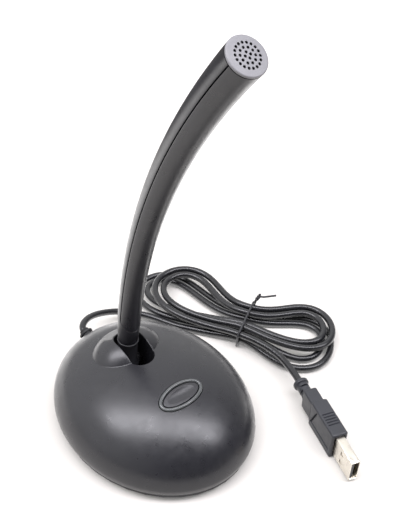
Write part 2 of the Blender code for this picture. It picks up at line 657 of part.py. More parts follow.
def make_base_shell():
    shell = add_part("base_shell", dome_solid(0.0, SHELL_RIM_Z), SATIN_BLACK)
    join(shell, "hump", ellipsoid(HUMP_HALF, (0.0, HUMP_Y, PIVOT_Z), 36, 18))
    below = box((-BASE_WIDTH, -BASE_LENGTH, -DOME_TOP), (BASE_WIDTH, BASE_LENGTH, SHELL_RIM_Z))
    cut(shell, "below_rim", below)
    combine(shell, shell_cavity(), "DIFFERENCE")
    slot = prism(stadium(SLOT_HALF, SLOT_FRONT_Y + SLOT_HALF, PIVOT_Y), 0.0, SLOT_TOP)
    cut(shell, "slot", slot)
    reach = WELL_HALF + GAP
    seat = cylinder(SEAT_RADIUS, -reach, reach)
    seat.transform(ALONG_X)
    cut(shell, "trunnion_seat", seat, ARM_PIVOT)
    way_in = box((-reach, -SEAT_RADIUS, WELL_BOTTOM - PIVOT_Z - GAP), (reach, SEAT_RADIUS, 0.0))
    cut(shell, "trunnion_way_in", way_in, ARM_PIVOT)
    hole = oval_cylinder(HOLE_HALF_LENGTH, HOLE_HALF_WIDTH, -3 * SHELL_WALL, 3 * SHELL_WALL)
    cut(shell, "button_hole", hole, BUTTON_AXIS)
    groove = tube(bezel_path(), BEAD_RADIUS + GAP, 2, cyclic=True)
    cut(shell, "bezel_groove", groove, BUTTON_AXIS)
    cable_hole = cylinder(RELIEF_NECK_RADIUS + GAP, -3 * SHELL_WALL, 3 * SHELL_WALL, 16)
    turn = (RELIEF_RISE - math.pi / 2, 0.0, 0.0)
    cut(shell, "cable_hole", cable_hole, None, RELIEF_PLACE, turn)
    pilot = cylinder(SCREW_HOLE, -GAP, SCREW_BITE + 1 * MM, 12)
    for index, (x, y) in enumerate(BASE_BOSSES):
        cut(shell, f"base_pilot_{index + 1}", pilot, None, (x, y, SHELL_RIM_Z))
    for index, y in enumerate(CLAMP_BOSS_Y):
        cut(shell, f"clamp_pilot_{index + 1}", pilot, None, (0, y, WELL_BOTTOM))
    for index, x in enumerate((-PCB_BOSS_X, PCB_BOSS_X)):
        hole = add_cutter(f"pcb_pilot_{index + 1}", pilot, BUTTON_AXIS, (x, 0, PCB_TOP + GAP))
        combine(shell, hole, "DIFFERENCE")


def make_base_plate():
    rim = HALF_LENGTH - SKIRT_TUCK
    lip_out = rim - SHELL_WALL - GAP
    lip_in = lip_out - LIP_WIDTH
    edge = rim - GAP
    profile = [(0.0, PLATE_TOP), (lip_in, PLATE_TOP), (lip_in, PLATE_TOP + LIP_HEIGHT),
               (lip_out, PLATE_TOP + LIP_HEIGHT), (lip_out, PLATE_TOP), (edge, PLATE_TOP),
               (edge, FOOT_STAND + PLATE_CHAMFER), (edge - PLATE_CHAMFER, FOOT_STAND), (0.0, FOOT_STAND)]
    mesh = turned(profile, DOME_STEPS)
    scaled_in_x(mesh, (HALF_WIDTH - SHELL_WALL) / (HALF_LENGTH - SHELL_WALL))
    plate = add_part("base_plate", mesh, BLACK_PLASTIC)
    peg = cylinder(BALLAST_PEG_RADIUS, PLATE_TOP - 1 * MM, BALLAST_TOP - GAP, 16)
    peg_bore = cylinder(SCREW_HOLE, PLATE_TOP, BALLAST_TOP + GAP, 12)
    for index, (x, y) in enumerate(PEG_PLACES):
        join(plate, f"ballast_peg_{index + 1}", peg, None, (x, y, 0))
        cut(plate, f"ballast_peg_bore_{index + 1}", peg_bore, None, (x, y, 0))
    recess = cylinder(FOOT_RADIUS + 2 * GAP, 0.0, FOOT_HEIGHT + GAP, 16)
    for index, (x, y) in enumerate(FOOT_PLACES):
        cut(plate, f"foot_recess_{index + 1}", recess, None, (x, y, 0))
    bore = cylinder(SCREW_HOLE, 0.0, PLATE_TOP + GAP, 12)
    counterbore = cylinder(HEAD_RADIUS + GAP, 0.0, FOOT_STAND + HEAD_HEIGHT + GAP, 16)
    for index, (x, y) in enumerate(BASE_BOSSES):
        cut(plate, f"plate_bore_{index + 1}", bore, None, (x, y, 0))
        cut(plate, f"plate_counterbore_{index + 1}", counterbore, None, (x, y, 0))


def make_ballast():
    mesh = oval_cylinder(BALLAST_HALF_X, BALLAST_HALF_Y, BALLAST_BOTTOM, BALLAST_TOP, 40)
    weight = add_part("ballast_weight", mesh, STEEL)
    hole = cylinder(BALLAST_PEG_RADIUS + GAP, 0.0, 2 * BALLAST_TOP, 16)
    screw = screw_mesh(BALLAST_HEAD_RADIUS, BALLAST_BITE)
    screw.transform(Matrix.Rotation(math.pi, 4, "X"))
    for index, (x, y) in enumerate(PEG_PLACES):
        cut(weight, f"ballast_hole_{index + 1}", hole, None, (x, y, 0))
        add_part(f"ballast_screw_{index + 1}", screw, STEEL, None, (x, y, BALLAST_TOP + GAP))


def make_feet():
    profile = [(0.0, FOOT_HEIGHT), (FOOT_RADIUS, FOOT_HEIGHT), (FOOT_RADIUS, 0.4 * FOOT_HEIGHT),
               (FOOT_RADIUS - 0.6 * FOOT_HEIGHT, 0.0), (0.0, 0.0)]
    mesh = turned(profile, 16)
    for index, (x, y) in enumerate(FOOT_PLACES):
        add_part(f"foot_{index + 1}", mesh, BLACK_RUBBER, None, (x, y, 0.0))


def make_base_screws():
    seat = FOOT_STAND + HEAD_HEIGHT
    mesh = screw_mesh(HEAD_RADIUS, SHELL_RIM_Z - seat + SCREW_BITE)
    for index, (x, y) in enumerate(BASE_BOSSES):
        add_part(f"base_screw_{index + 1}", mesh, STEEL, None, (x, y, seat))


# Tilt hinge

def make_knuckle():
    """Socket and neck on a ball, with a hollow trunnion to each side; it leans as the arm's foot does."""
    lean = (ARM_FOOT_LEAN, 0.0, 0.0)
    ball = ellipsoid([BALL_RADIUS] * 3, (0, 0, 0), 24, 12)
    knuckle = add_part("knuckle", ball, BLACK_PLASTIC, ARM_PIVOT)
    rim_radius = ARM_FOOT_RADIUS + SOCKET_LIP
    neck = turned([(0.0, NECK_LENGTH), (rim_radius, NECK_LENGTH), (rim_radius, NECK_LENGTH - 0.6 * MM),
                   (ARM_FOOT_RADIUS, NECK_LENGTH - 2 * MM), (ARM_FOOT_RADIUS, -1 * MM), (0.0, -1 * MM)], 28)
    join(knuckle, "neck", neck, ARM_PIVOT, (0, 0, 0), lean)
    trunnion = cylinder(TRUNNION_RADIUS, -TRUNNION_END, TRUNNION_END, 24)
    trunnion.transform(ALONG_X)
    join(knuckle, "trunnions", trunnion, ARM_PIVOT)
    socket = cylinder(SPIGOT_RADIUS + GAP, NECK_LENGTH - SOCKET_DEPTH, NECK_LENGTH + 1 * MM, 24)
    cut(knuckle, "socket", socket, ARM_PIVOT, (0, 0, 0), lean)
    bore_radius = LEAD_RADIUS + LEAD_CLEARANCE
    bore = cylinder(bore_radius, -0.4 * bore_radius, NECK_LENGTH, 16)
    cut(knuckle, "neck_bore", bore, ARM_PIVOT, (0, 0, 0), lean)
    side_bore = cylinder(bore_radius, -TRUNNION_END - GAP, 0.4 * bore_radius, 16)
    side_bore.transform(ALONG_X)
    cut(knuckle, "trunnion_bore", side_bore, ARM_PIVOT)


def make_hinge_clamp():
    front, rear = (CLAMP_BOSS_Y[0] - BOSS_RADIUS, CLAMP_BOSS_Y[1] + BOSS_RADIUS)
    bottom = CLAMP_TOP - CLAMP_THICKNESS
    outline = stadium(WELL_HALF, front + WELL_HALF, rear - WELL_HALF, 8)
    clamp = add_part("hinge_clamp", prism(outline, bottom, CLAMP_TOP), BLACK_PLASTIC)
    tongue_top = PIVOT_Z - BUSH_RADIUS - GAP
    half = SEAT_RADIUS - 2 * GAP
    hole = cylinder(SCREW_HOLE, 0.0, WELL_BOTTOM, 12)
    screw = screw_mesh(HEAD_RADIUS, CLAMP_THICKNESS + SCREW_BITE)
    for index, side in enumerate((-1, 1)):
        ends = sorted((side * (SLOT_HALF + GAP), side * (WELL_HALF - GAP)))
        tongue = box((ends[0], PIVOT_Y - half, bottom), (ends[1], PIVOT_Y + half, tongue_top))
        join(clamp, f"clamp_tongue_{index + 1}", tongue)
        y = CLAMP_BOSS_Y[index]
        cut(clamp, f"clamp_hole_{index + 1}", hole, None, (0, y, 0))
        add_part(f"clamp_screw_{index + 1}", screw, STEEL, None, (0, y, bottom - GAP))


def make_bushes():
    inner = SLOT_HALF + GAP
    outer = WELL_HALF - GAP
    profile = [(BUSH_RADIUS, outer), (BUSH_RADIUS, inner), (BUSH_BORE, inner), (BUSH_BORE, outer)]
    for name, side in (("left", -1), ("right", 1)):
        mesh = turned(profile, 24, closed=True)
        mesh.transform(Matrix.Rotation(side * math.pi / 2, 4, "Y"))
        add_part(f"trunnion_bush_{name}", mesh, NYLON, None, (0.0, PIVOT_Y, PIVOT_Z))


# Arm

def arm_tube(inset, start, end, resolution, steps=18):
    """Solid along the arm's centre line, a given depth below its outer surface."""
    distances = np.linspace(start, end, steps)
    points = [arm_place(d).translation for d in distances]
    radii = [arm_radius(d) - inset for d in distances]
    return tube(points, 1.0, resolution, radii)


def front_half(name, gap):
    """Everything ahead of the arm's flank seam and above the slanted lower edge of the front shell."""
    distances = np.linspace(SEAM_START + gap, ARM_LENGTH + 10 * MM, 24)
    seam = [arm_place(d).translation + Vector((0.0, -gap, 0.0)) for d in distances]
    reach = 6 * ARM_TIP_RADIUS
    low = seam[0] + Vector((0.0, -reach, -reach * SEAM_DROP))
    outline = [(p.y, p.z) for p in seam] + [(seam[-1].y - reach, seam[-1].z), (low.y, low.z)]
    mesh = prism(outline, -2 * ARM_TIP_RADIUS, 2 * ARM_TIP_RADIUS)
    mesh.transform(Matrix(((0, 0, 1, 0), (1, 0, 0, 0), (0, 1, 0, 0), (0, 0, 0, 1))))
    return add_cutter(name, mesh, ARM_PIVOT)


def make_arm_shells():
    inside = arm_tube(ARM_WALL, ARM_FLOOR + GAP, ARM_LENGTH + 5 * MM, BORE_SIDES // 2 - 2)
    bore = add_cutter("arm_bore", inside, ARM_PIVOT)
    front = add_part("arm_front_shell", arm_tube(0.0, GAP, SHELL_END, 6), SATIN_BLACK, ARM_PIVOT)
    combine(front, bore, "DIFFERENCE")
    combine(front, front_half("front_keep", GAP), "INTERSECT")
    rear = add_part("arm_rear_shell", arm_tube(0.0, GAP, SHELL_END, 6), SATIN_BLACK, ARM_PIVOT)
    lean = (ARM_FOOT_LEAN, 0.0, 0.0)
    spigot = cylinder(SPIGOT_RADIUS, NECK_LENGTH - SOCKET_DEPTH + GAP, NECK_LENGTH + ARM_FLOOR, 24)
    join(rear, "spigot", spigot, ARM_PIVOT, (0, 0, 0), lean)
    combine(rear, bore, "DIFFERENCE")
    lead_way = cylinder(SPIGOT_BORE, 0.0, NECK_LENGTH + 2 * ARM_FLOOR, 16)
    cut(rear, "spigot_bore", lead_way, ARM_PIVOT, (0, 0, 0), lean)
    combine(rear, front_half("front_cut", 0.0), "DIFFERENCE")


def make_end_cap():
    """Crowned cap with a round rim, a spigot in the arm and rings of sound holes."""
    rim = ARM_TIP_RADIUS
    bore = arm_radius(SHELL_END - CAP_SPIGOT_LENGTH) - ARM_WALL
    spigot = bore * math.cos(math.pi / BORE_SIDES) - GAP
    chamber = spigot - CAP_SPIGOT_WALL
    corner = [(rim - CAP_ROUND + CAP_ROUND * math.sin(a), CAP_RIM - CAP_ROUND + CAP_ROUND * math.cos(a))
              for a in np.linspace(0.0, math.pi / 2, 4)]
    ceiling = CAP_RIM + CAP_CROWN - CAP_FACE
    profile = [(0.0, CAP_RIM + CAP_CROWN), (0.6 * rim, CAP_RIM + 0.7 * CAP_CROWN), *corner, (rim, 0.0),
               (spigot, 0.0), (spigot, -CAP_SPIGOT_LENGTH), (chamber, -CAP_SPIGOT_LENGTH),
               (chamber, ceiling), (0.0, ceiling)]
    mesh = turned(profile, 24)
    place = arm_place(ARM_LENGTH - CAP_RIM)
    mesh.transform(place)
    cap = add_part("end_cap", mesh, GREY_PLASTIC, ARM_PIVOT)
    for ring, (radius, count) in enumerate(CAP_HOLE_RINGS):
        for index in range(count):
            turn = 2 * math.pi * (index + 0.5 * (ring % 2)) / count
            hole = cylinder(CAP_HOLE_RADIUS, ceiling - GAP, CAP_RIM + 2 * CAP_CROWN, 6)
            offset = (radius * math.cos(turn), radius * math.sin(turn), 0.0)
            hole.transform(place @ Matrix.Translation(offset))
            cut(cap, f"sound_hole_{ring + 1}_{index + 1}", hole, ARM_PIVOT)
    return place, chamber, ceiling


def make_capsule(place, chamber, ceiling):
    """Rubber boot in the cap's chamber, the electret capsule in it and the lead down the arm."""
    radius = chamber - GAP
    top = ceiling - GAP
    bottom = top - BOOT_LENGTH
    pocket = CAPSULE_RADIUS + GAP
    floor = top - CAPSULE_LENGTH - GAP
    way_out = LEAD_RADIUS + LEAD_CLEARANCE
    profile = [(radius, top), (radius, bottom), (way_out, bottom), (way_out, floor), (pocket, floor),
               (pocket, top)]
    boot = turned(profile, 20, closed=True)
    boot.transform(place)
    add_part("capsule_boot", boot, BLACK_RUBBER, ARM_PIVOT)
    capsule = cylinder(CAPSULE_RADIUS, floor + GAP, floor + GAP + CAPSULE_LENGTH, 24)
    capsule.transform(place)
    add_part("mic_capsule", capsule, STEEL, ARM_PIVOT)
    start = place @ Vector((0.0, 0.0, floor))
    inside = place @ Vector((0.0, 0.0, bottom - 2 * MM))
    down = [arm_place(d).translation for d in np.linspace(SHELL_END - 14 * MM, 0.0, 14)]
    neck = Vector((0.0, -math.sin(ARM_FOOT_LEAN), math.cos(ARM_FOOT_LEAN)))
    bend = [neck * 1.6, Vector((-0.5, 0, 0.5)), Vector((-1.6, 0, 0))]
    bend = [corner * LEAD_RADIUS for corner in bend]
    side = Vector((-TRUNNION_END + GAP, 0.0, 0.0))
    points = [start, inside, *down, neck * 0.5 * NECK_LENGTH, *bend, side]
    add_part("mic_lead_arm", tube_curve(points, LEAD_RADIUS, 1), CABLE_JACKET, ARM_PIVOT)


# Button, switch and board

def make_button():
    """Dished oval cap that follows the dome, with its flange under the shell and a stem to the switch."""
    body = oval_cylinder(CAP_HALF_LENGTH, CAP_HALF_WIDTH, -FLANGE_DEPTH, DOME_RISE)
    cap = add_part("button_cap", body, BLACK_PLASTIC, BUTTON_AXIS)
    crown = add_cutter("button_crown", dome_solid(-BUTTON_PROUD, SHELL_RIM_Z))
    combine(cap, crown, "INTERSECT")
    flange = oval_cylinder(HOLE_HALF_LENGTH + FLANGE_LIP, HOLE_HALF_WIDTH + FLANGE_LIP,
                           FLANGE_BOTTOM, -FLANGE_DEPTH)
    join(cap, "button_flange", flange, BUTTON_AXIS)
    stem = cylinder(STEM_RADIUS, STEM_BOTTOM, -FLANGE_DEPTH, 16)
    join(cap, "button_stem", stem, BUTTON_AXIS)
    sphere_share = 0.35
    sphere_half = math.sqrt(1 - (1 - sphere_share) ** 2)
    half_z = BUTTON_DISH / sphere_share
    half_x = (CAP_HALF_LENGTH - BUTTON_DISH_RIM) / sphere_half
    half_y = (CAP_HALF_WIDTH - BUTTON_DISH_RIM) / sphere_half
    dish = ellipsoid((half_x, half_y, half_z), (0, 0, BUTTON_PROUD + half_z - BUTTON_DISH), 36, 20)
    cut(cap, "button_dish", dish, BUTTON_AXIS)
    plunger = cylinder(PLUNGER_RADIUS, PLUNGER_TOP - PLUNGER_LENGTH, PLUNGER_TOP, 16)
    add_part("switch_plunger", plunger, BLACK_PLASTIC, BUTTON_AXIS)
    bead = tube_curve(bezel_path(), BEAD_RADIUS, 2, cyclic=True)
    add_part("button_bezel", bead, GLOSS_BLACK, BUTTON_AXIS)


def hanging_box(size, place):
    """A component that hangs below the board, with its middle at a place in the button's frame."""
    half = (size[0] / 2, size[1] / 2)
    low = (place[0] - half[0], place[1] - half[1], PARTS_TOP - size[2])
    return box(low, (place[0] + half[0], place[1] + half[1], PARTS_TOP))


def make_board():
    half = PCB_WIDTH / 2
    sheet = box((-half, -PCB_FRONT, PCB_BOTTOM), (half, PCB_REAR, PCB_TOP))
    board = add_part("pcb", sheet, BOARD, BUTTON_AXIS)
    hole = cylinder(SCREW_HOLE, PCB_BOTTOM - GAP, PCB_TOP + GAP, 12)
    screw = screw_mesh(HEAD_RADIUS, PCB_THICKNESS + SCREW_BITE)
    for index, x in enumerate((-PCB_BOSS_X, PCB_BOSS_X)):
        cut(board, f"pcb_hole_{index + 1}", hole, BUTTON_AXIS, (x, 0, 0))
        add_part(f"pcb_screw_{index + 1}", screw, STEEL, BUTTON_AXIS, (x, 0, PCB_BOTTOM - GAP))
    side = SWITCH_SIDE / 2
    block = box((-side, -side, SWITCH_BOTTOM), (side, side, SWITCH_TOP))
    switch = add_part("switch_body", block, BLACK_PLASTIC, BUTTON_AXIS)
    depth = PLUNGER_TOP - PLUNGER_LENGTH - BUTTON_TRAVEL - GAP
    well = cylinder(PLUNGER_RADIUS + HOLE_CLEARANCE, depth, SWITCH_TOP + GAP, 16)
    cut(switch, "plunger_well", well, BUTTON_AXIS)
    add_part("codec_chip", hanging_box(CHIP_SIZE, CHIP_PLACE), BLACK_PLASTIC, BUTTON_AXIS)
    crystal = add_part("crystal_can", hanging_box(CRYSTAL_SIZE, CRYSTAL_PLACE), STEEL, BUTTON_AXIS)
    soften(crystal, 0.8 * MM)
    add_part("usb_header", hanging_box(USB_HEADER_SIZE, USB_HEADER_PLACE), NYLON, BUTTON_AXIS)
    add_part("mic_header", hanging_box(MIC_HEADER_SIZE, MIC_HEADER_PLACE), NYLON, BUTTON_AXIS)
    can = cylinder(CAPACITOR_RADIUS, PARTS_TOP - CAPACITOR_LENGTH, PARTS_TOP, 20)
    add_part("capacitor", can, BLACK_PLASTIC, BUTTON_AXIS, (*CAPACITOR_PLACE, 0.0))


def header_end(size, place, distance):
    """Point below a header's end face, a distance away from it."""
    return BUTTON_FRAME @ Vector((*place, PARTS_TOP - size[2] - distance))


def make_inner_leads():
    start = RELIEF_PLACE + RELIEF_AXIS * (RELIEF_INNER_END - GAP)
    route = [start, start - RELIEF_AXIS * 3 * MM, *in_metres(USB_INNER_ROUTE),
             header_end(USB_HEADER_SIZE, USB_HEADER_PLACE, 4 * MM),
             header_end(USB_HEADER_SIZE, USB_HEADER_PLACE, GAP)]
    add_part("usb_lead_inner", tube_curve(smooth_route(route, 22), CORD_RADIUS, 2), CABLE_JACKET)
    start = Vector((-TRUNNION_END, PIVOT_Y, PIVOT_Z))
    out = Vector((-1.0, 0.0, 0.0))
    route = [start, start + out * 2.5 * MM, *in_metres(MIC_BASE_ROUTE),
             header_end(MIC_HEADER_SIZE, MIC_HEADER_PLACE, 3 * MM),
             header_end(MIC_HEADER_SIZE, MIC_HEADER_PLACE, GAP)]
    add_part("mic_lead_base", tube_curve(smooth_route(route, 18), LEAD_RADIUS, 1), CABLE_JACKET)


# Cable

def make_strain_relief():
    """Flanged sleeve through the dome's rear wall."""
    sleeve_end = CORD_RADIUS + RELIEF_SLEEVE_WALL
    flange_top = RELIEF_STANDOFF + RELIEF_FLANGE_THICKNESS
    profile = [(0.0, RELIEF_SLEEVE), (sleeve_end, RELIEF_SLEEVE), (RELIEF_NECK_RADIUS, flange_top),
               (RELIEF_FLANGE_RADIUS - 0.4 * MM, flange_top), (RELIEF_FLANGE_RADIUS, flange_top - 0.4 * MM),
               (RELIEF_FLANGE_RADIUS, RELIEF_STANDOFF), (RELIEF_NECK_RADIUS, RELIEF_STANDOFF),
               (RELIEF_NECK_RADIUS, -RELIEF_GRIP), (RELIEF_FLANGE_RADIUS, -RELIEF_GRIP),
               (RELIEF_FLANGE_RADIUS, RELIEF_INNER_END), (0.0, RELIEF_INNER_END)]
    turn = (RELIEF_RISE - math.pi / 2, 0.0, 0.0)
    add_part("strain_relief", turned(profile, 16), BLACK_RUBBER, None, RELIEF_PLACE, turn)


HANK_ALONG = Vector((math.cos(HANK_HEADING), math.sin(HANK_HEADING), 0.0))
HANK_ACROSS = Vector((-math.sin(HANK_HEADING), math.cos(HANK_HEADING), 0.0))


def hank_to_world(u, w, z):
    return Vector((*HANK_PLACE, z)) + HANK_ALONG * u + HANK_ACROSS * w


def hank_loop(phase, climb):
    """Innermost loop in u and w: an oval with a waist, bent along a parabola on either side of the tie."""
    swing = math.cos(phase)
    layers = (LEFT_REACH, LEFT_LOBE, LEFT_SWAY) if swing < 0 else (RIGHT_REACH, RIGHT_LOBE, RIGHT_SWAY)
    reach, lobe, sway = [low + (high - low) * climb for low, high in layers]
    half = (WAIST_HALF + lobe * swing ** 2) * math.sin(phase)
    lean = math.atan(2 * sway * swing / reach)
    return Vector((reach * swing - half * math.sin(lean), sway * swing ** 2 + half * math.cos(lean)))


def hank_point(turn):
    """The hank's middle line after a number of turns: it spirals in, climbs a layer and spirals out."""
    phase = HANK_START + 2 * math.pi * turn
    past = turn - HANK_TURNS / 2
    share = min(max(past / CLIMB_TURNS + 0.5, 0.0), 1.0)
    climb = share * share * (3 - 2 * share)
    outward = HANK_PITCH * (math.hypot(past, REVERSAL) - REVERSAL)
    for middle, width, swell in LOOSE_LOOPS:
        outward += swell * max(1 - ((turn - middle) / width) ** 2, 0.0) ** 2
    along = (hank_loop(phase + 0.01, climb) - hank_loop(phase - 0.01, climb)).normalized()
    place = hank_loop(phase, climb) + Vector((along.y, -along.x)) * outward
    lift = TOP_LIFT * climb * max(-math.cos(phase), 0.0) ** 2
    rise = WAIST_RISE * math.exp(-(place.x / WAIST_RISE_LENGTH) ** 2)
    return hank_to_world(place.x, place.y, HANK_LOW + LAYER_STEP * climb + lift + rise)


def hank_points():
    """Middle line of the whole hank, with a straight run of one diameter at each end."""
    count = round(HANK_TURNS * HANK_POINTS_PER_TURN) + 1
    points = [hank_point(turn) for turn in np.linspace(0.0, HANK_TURNS, count)]
    first = points[0] + (points[0] - points[1]).normalized() * 2 * CORD_RADIUS
    last = points[-1] + (points[-1] - points[-2]).normalized() * 2 * CORD_RADIUS
    return [first, *points, last]


def least_gap(points, radius):
    """Smallest clear distance between parts of a tube that aren't next to each other along it."""
    line = np.array(points)
    steps = np.linspace(0.0, 1.0, 8, endpoint=False)[None, :, None]
    fine = (line[:-1, None] + (line[1:] - line[:-1])[:, None] * steps).reshape(-1, 3)
    along = np.concatenate([[0.0], np.cumsum(np.linalg.norm(np.diff(fine, axis=0), axis=1))])
    apart = np.linalg.norm(fine[:, None] - fine[None], axis=2)
    apart[np.abs(along[:, None] - along[None]) < 10 * radius] = np.inf
    return apart.min() - 2 * radius


def make_cable():
    hank = hank_points()
    add_part("cable_hank", tube_curve(hank, CORD_RADIUS, 1), CABLE_JACKET)
    print(f"least gap of the hank to itself: {least_gap(hank, CORD_RADIUS) / MM:.2f} mm")
    start = RELIEF_PLACE + RELIEF_AXIS * (RELIEF_SLEEVE + GAP)
    into = (hank[1] - hank[0]).normalized()
    route = [start, start + RELIEF_AXIS * 1.5 * MM, *in_metres(LEAD_ROUTE), hank[0] - into * 5 * MM,
             hank[0] - into * GAP]
    lead = smooth_route(route, 26)
    add_part("cable_lead", tube_curve(lead, CORD_RADIUS, 2), CABLE_JACKET)
    out = (hank[-1] - hank[-2]).normalized()
    end = PLUG_ORIGIN + PLUG_AXIS * (PLUG_END - GAP)
    bends = [hank_to_world(u * MM, w * MM, z * MM) for u, w, z in TAIL_ROUTE]
    route = [hank[-1] + out * GAP, hank[-1] + out * 3 * MM, *bends, end - PLUG_AXIS * 4 * MM, end]
    tail = smooth_route(route, 16)
    add_part("cable_tail", tube_curve(tail, CORD_RADIUS, 2), CABLE_JACKET)
    steps = [np.linalg.norm(np.diff(np.array(run), axis=0), axis=1).sum() for run in (lead, hank, tail)]
    length = sum(steps)
    print(f"cable from strain relief to plug: {length:.3f} m")


def waist_bounds():
    """Lowest and highest w and z of the hank's middle line where the tie goes round it."""
    origin = hank_to_world(0.0, 0.0, 0.0)
    line = [hank_point(turn) - origin for turn in np.linspace(0.0, HANK_TURNS, 900)]
    near_tie = [point for point in line if abs(point.dot(HANK_ALONG)) < 6 * TIE_RADIUS]
    across = [point.dot(HANK_ACROSS) for point in near_tie]
    heights = [point.z for point in near_tie]
    return min(across), max(across), min(heights), max(heights)


def make_tie():
    """Wire tie round the hank's waist, its ends twisted together on top, one of them long."""
    clear = CORD_RADIUS + TIE_RADIUS + GAP
    near, far, low, high = waist_bounds()
    near -= clear
    far += clear
    low -= clear
    high += clear
    corner = 2.2 * MM
    centres = [(far - corner, high - corner, 90), (near + corner, high - corner, 180),
               (near + corner, low + corner, 270), (far - corner, low + corner, 360)]
    ring = []
    for w, z, end in centres:
        for angle in np.linspace(end - 90, end, 4) * DEG:
            ring.append((w + corner * math.cos(angle), z + corner * math.sin(angle)))
    ring = ring[1:] + ring[:1]
    count = len(ring) - 1
    slant = 3 * TIE_RADIUS
    path = [hank_to_world(slant * (index / count - 0.5), w, z) for index, (w, z) in enumerate(ring)]
    tail = [hank_to_world(u * MM, w * MM, z * MM) for u, w, z in TIE_TAIL]
    add_part("cable_tie", tube_curve([*path, *tail], TIE_RADIUS, 1), BLACK_PLASTIC)


# Plug

def make_overmold():
    half_y = OVERMOLD_WIDTH / 2
    half_z = OVERMOLD_HEIGHT / 2
    block = box((-OVERMOLD_LENGTH, -half_y, -half_z), (0.0, half_y, half_z))
    body = add_part("plug_overmold", block, PLUG_PLASTIC, PLUG_FRAME)
    soften(body, OVERMOLD_ROUND)
    neck_end = -OVERMOLD_LENGTH - NECK_BLOCK_LENGTH
    block = box((neck_end, -NECK_BLOCK_WIDTH / 2, -NECK_BLOCK_HEIGHT / 2),
                (-OVERMOLD_LENGTH + 2 * MM, NECK_BLOCK_WIDTH / 2, NECK_BLOCK_HEIGHT / 2))
    neck = add_cutter("neck_block", block, PLUG_FRAME)
    soften(neck, OVERMOLD_ROUND)
    combine(body, neck, "UNION")
    sleeve = cylinder(PLUG_RELIEF_RADIUS, PLUG_END, neck_end + 2 * MM, 20)
    ring = cylinder(PLUG_RING_RADIUS, PLUG_END, PLUG_END + PLUG_RING_LENGTH, 20)
    for name, mesh in (("plug_relief", sleeve), ("plug_ring", ring)):
        mesh.transform(ALONG_X)
        join(body, name, mesh, PLUG_FRAME)
    slot_room = neck_end - PLUG_END - PLUG_RING_LENGTH
    for index in range(2):
        x = PLUG_END + PLUG_RING_LENGTH + slot_room * (index + 1) / 3 - PLUG_SLOT_WIDTH / 2
        for side in (-1, 1):
            far = side * 2 * PLUG_RELIEF_RADIUS
            near = side * (PLUG_RELIEF_RADIUS - PLUG_SLOT_DEPTH)
            ends = sorted((near, far))
            across = (-2 * PLUG_RELIEF_RADIUS, 2 * PLUG_RELIEF_RADIUS)
            spans = (across, ends) if index == 0 else (ends, across)
            low = (x, spans[0][0], spans[1][0])
            high = (x + PLUG_SLOT_WIDTH, spans[0][1], spans[1][1])
            cut(body, f"relief_slot_{index + 1}_{side}", box(low, high), PLUG_FRAME)
    for side in (-1, 1):
        edges = sorted((side * (half_z - GROOVE_DEPTH), side * 2 * half_z))
        for index in range(GRIP_GROOVES):
            x = -GRIP_FROM_FRONT - index * GRIP_PITCH
            reach = half_y - OVERMOLD_ROUND
            groove = box((x - GROOVE_WIDTH, -reach, edges[0]), (x, reach, edges[1]))
            cut(body, f"grip_{side}_{index + 1}", groove, PLUG_FRAME)
        faces = sorted((side * (half_y - GROOVE_DEPTH), side * 2 * half_y))
        line = box((-PANEL_REAR, faces[0], -PANEL_LOW - GROOVE_WIDTH), (-PANEL_FRONT, faces[1], -PANEL_LOW))
        cut(body, f"panel_line_{side}", line, PLUG_FRAME)
        slant = box((-PANEL_REAR, faces[0], -PANEL_LOW - GROOVE_WIDTH),
                    (-PANEL_REAR + GROOVE_WIDTH, faces[1], PANEL_HIGH))
        lean = Matrix.Identity(4)
        lean[0][2] = PANEL_SLANT / (PANEL_HIGH + PANEL_LOW)
        lean[0][3] = lean[0][2] * (PANEL_LOW + GROOVE_WIDTH)
        slant.transform(lean)
        cut(body, f"panel_slant_{side}", slant, PLUG_FRAME)
    pocket = box((-USB_SUNK - GAP, -USB_THICKNESS / 2 - GAP, -USB_HEIGHT / 2 - GAP),
                 (USB_LENGTH, USB_THICKNESS / 2 + GAP, USB_HEIGHT / 2 + GAP))
    cut(body, "shell_pocket", pocket, PLUG_FRAME)


def make_usb_shell():
    half_y = USB_THICKNESS / 2
    half_z = USB_HEIGHT / 2
    can = box((-USB_SUNK, -half_y, -half_z), (USB_LENGTH, half_y, half_z))
    shell = add_part("plug_shell", can, NICKEL, PLUG_FRAME)
    inner_y = half_y - USB_WALL
    inner_z = half_z - USB_WALL
    inside = box((-USB_SUNK + USB_WALL, -inner_y, -inner_z), (USB_LENGTH + 1 * MM, inner_y, inner_z))
    cut(shell, "shell_inside", inside, PLUG_FRAME)
    front = USB_LENGTH - WINDOW_FROM_TIP
    for index, z in enumerate((-WINDOW_SPACING / 2, WINDOW_SPACING / 2)):
        side = WINDOW_SIDE / 2
        window = box((front - WINDOW_SIDE, -USB_THICKNESS, z - side), (front, USB_THICKNESS, z + side))
        cut(shell, f"window_{index + 1}", window, PLUG_FRAME)
    tongue_low = -inner_y + GAP
    tongue_high = tongue_low + TONGUE_THICKNESS
    tongue_half = inner_z - GAP
    tongue = box((-USB_SUNK + USB_WALL + GAP, tongue_low, -tongue_half),
                 (USB_LENGTH - TONGUE_SETBACK, tongue_high, tongue_half))
    add_part("plug_tongue", tongue, BLACK_PLASTIC, PLUG_FRAME)
    contact_front = USB_LENGTH - 2 * TONGUE_SETBACK
    for index in range(4):
        z = (index - 1.5) * CONTACT_PITCH
        contact = box((contact_front - CONTACT_LENGTH, tongue_high + GAP, z - CONTACT_WIDTH / 2),
                      (contact_front, tongue_high + GAP + CONTACT_THICKNESS, z + CONTACT_WIDTH / 2))
        add_part(f"plug_contact_{index + 1}", contact, GOLD, PLUG_FRAME)


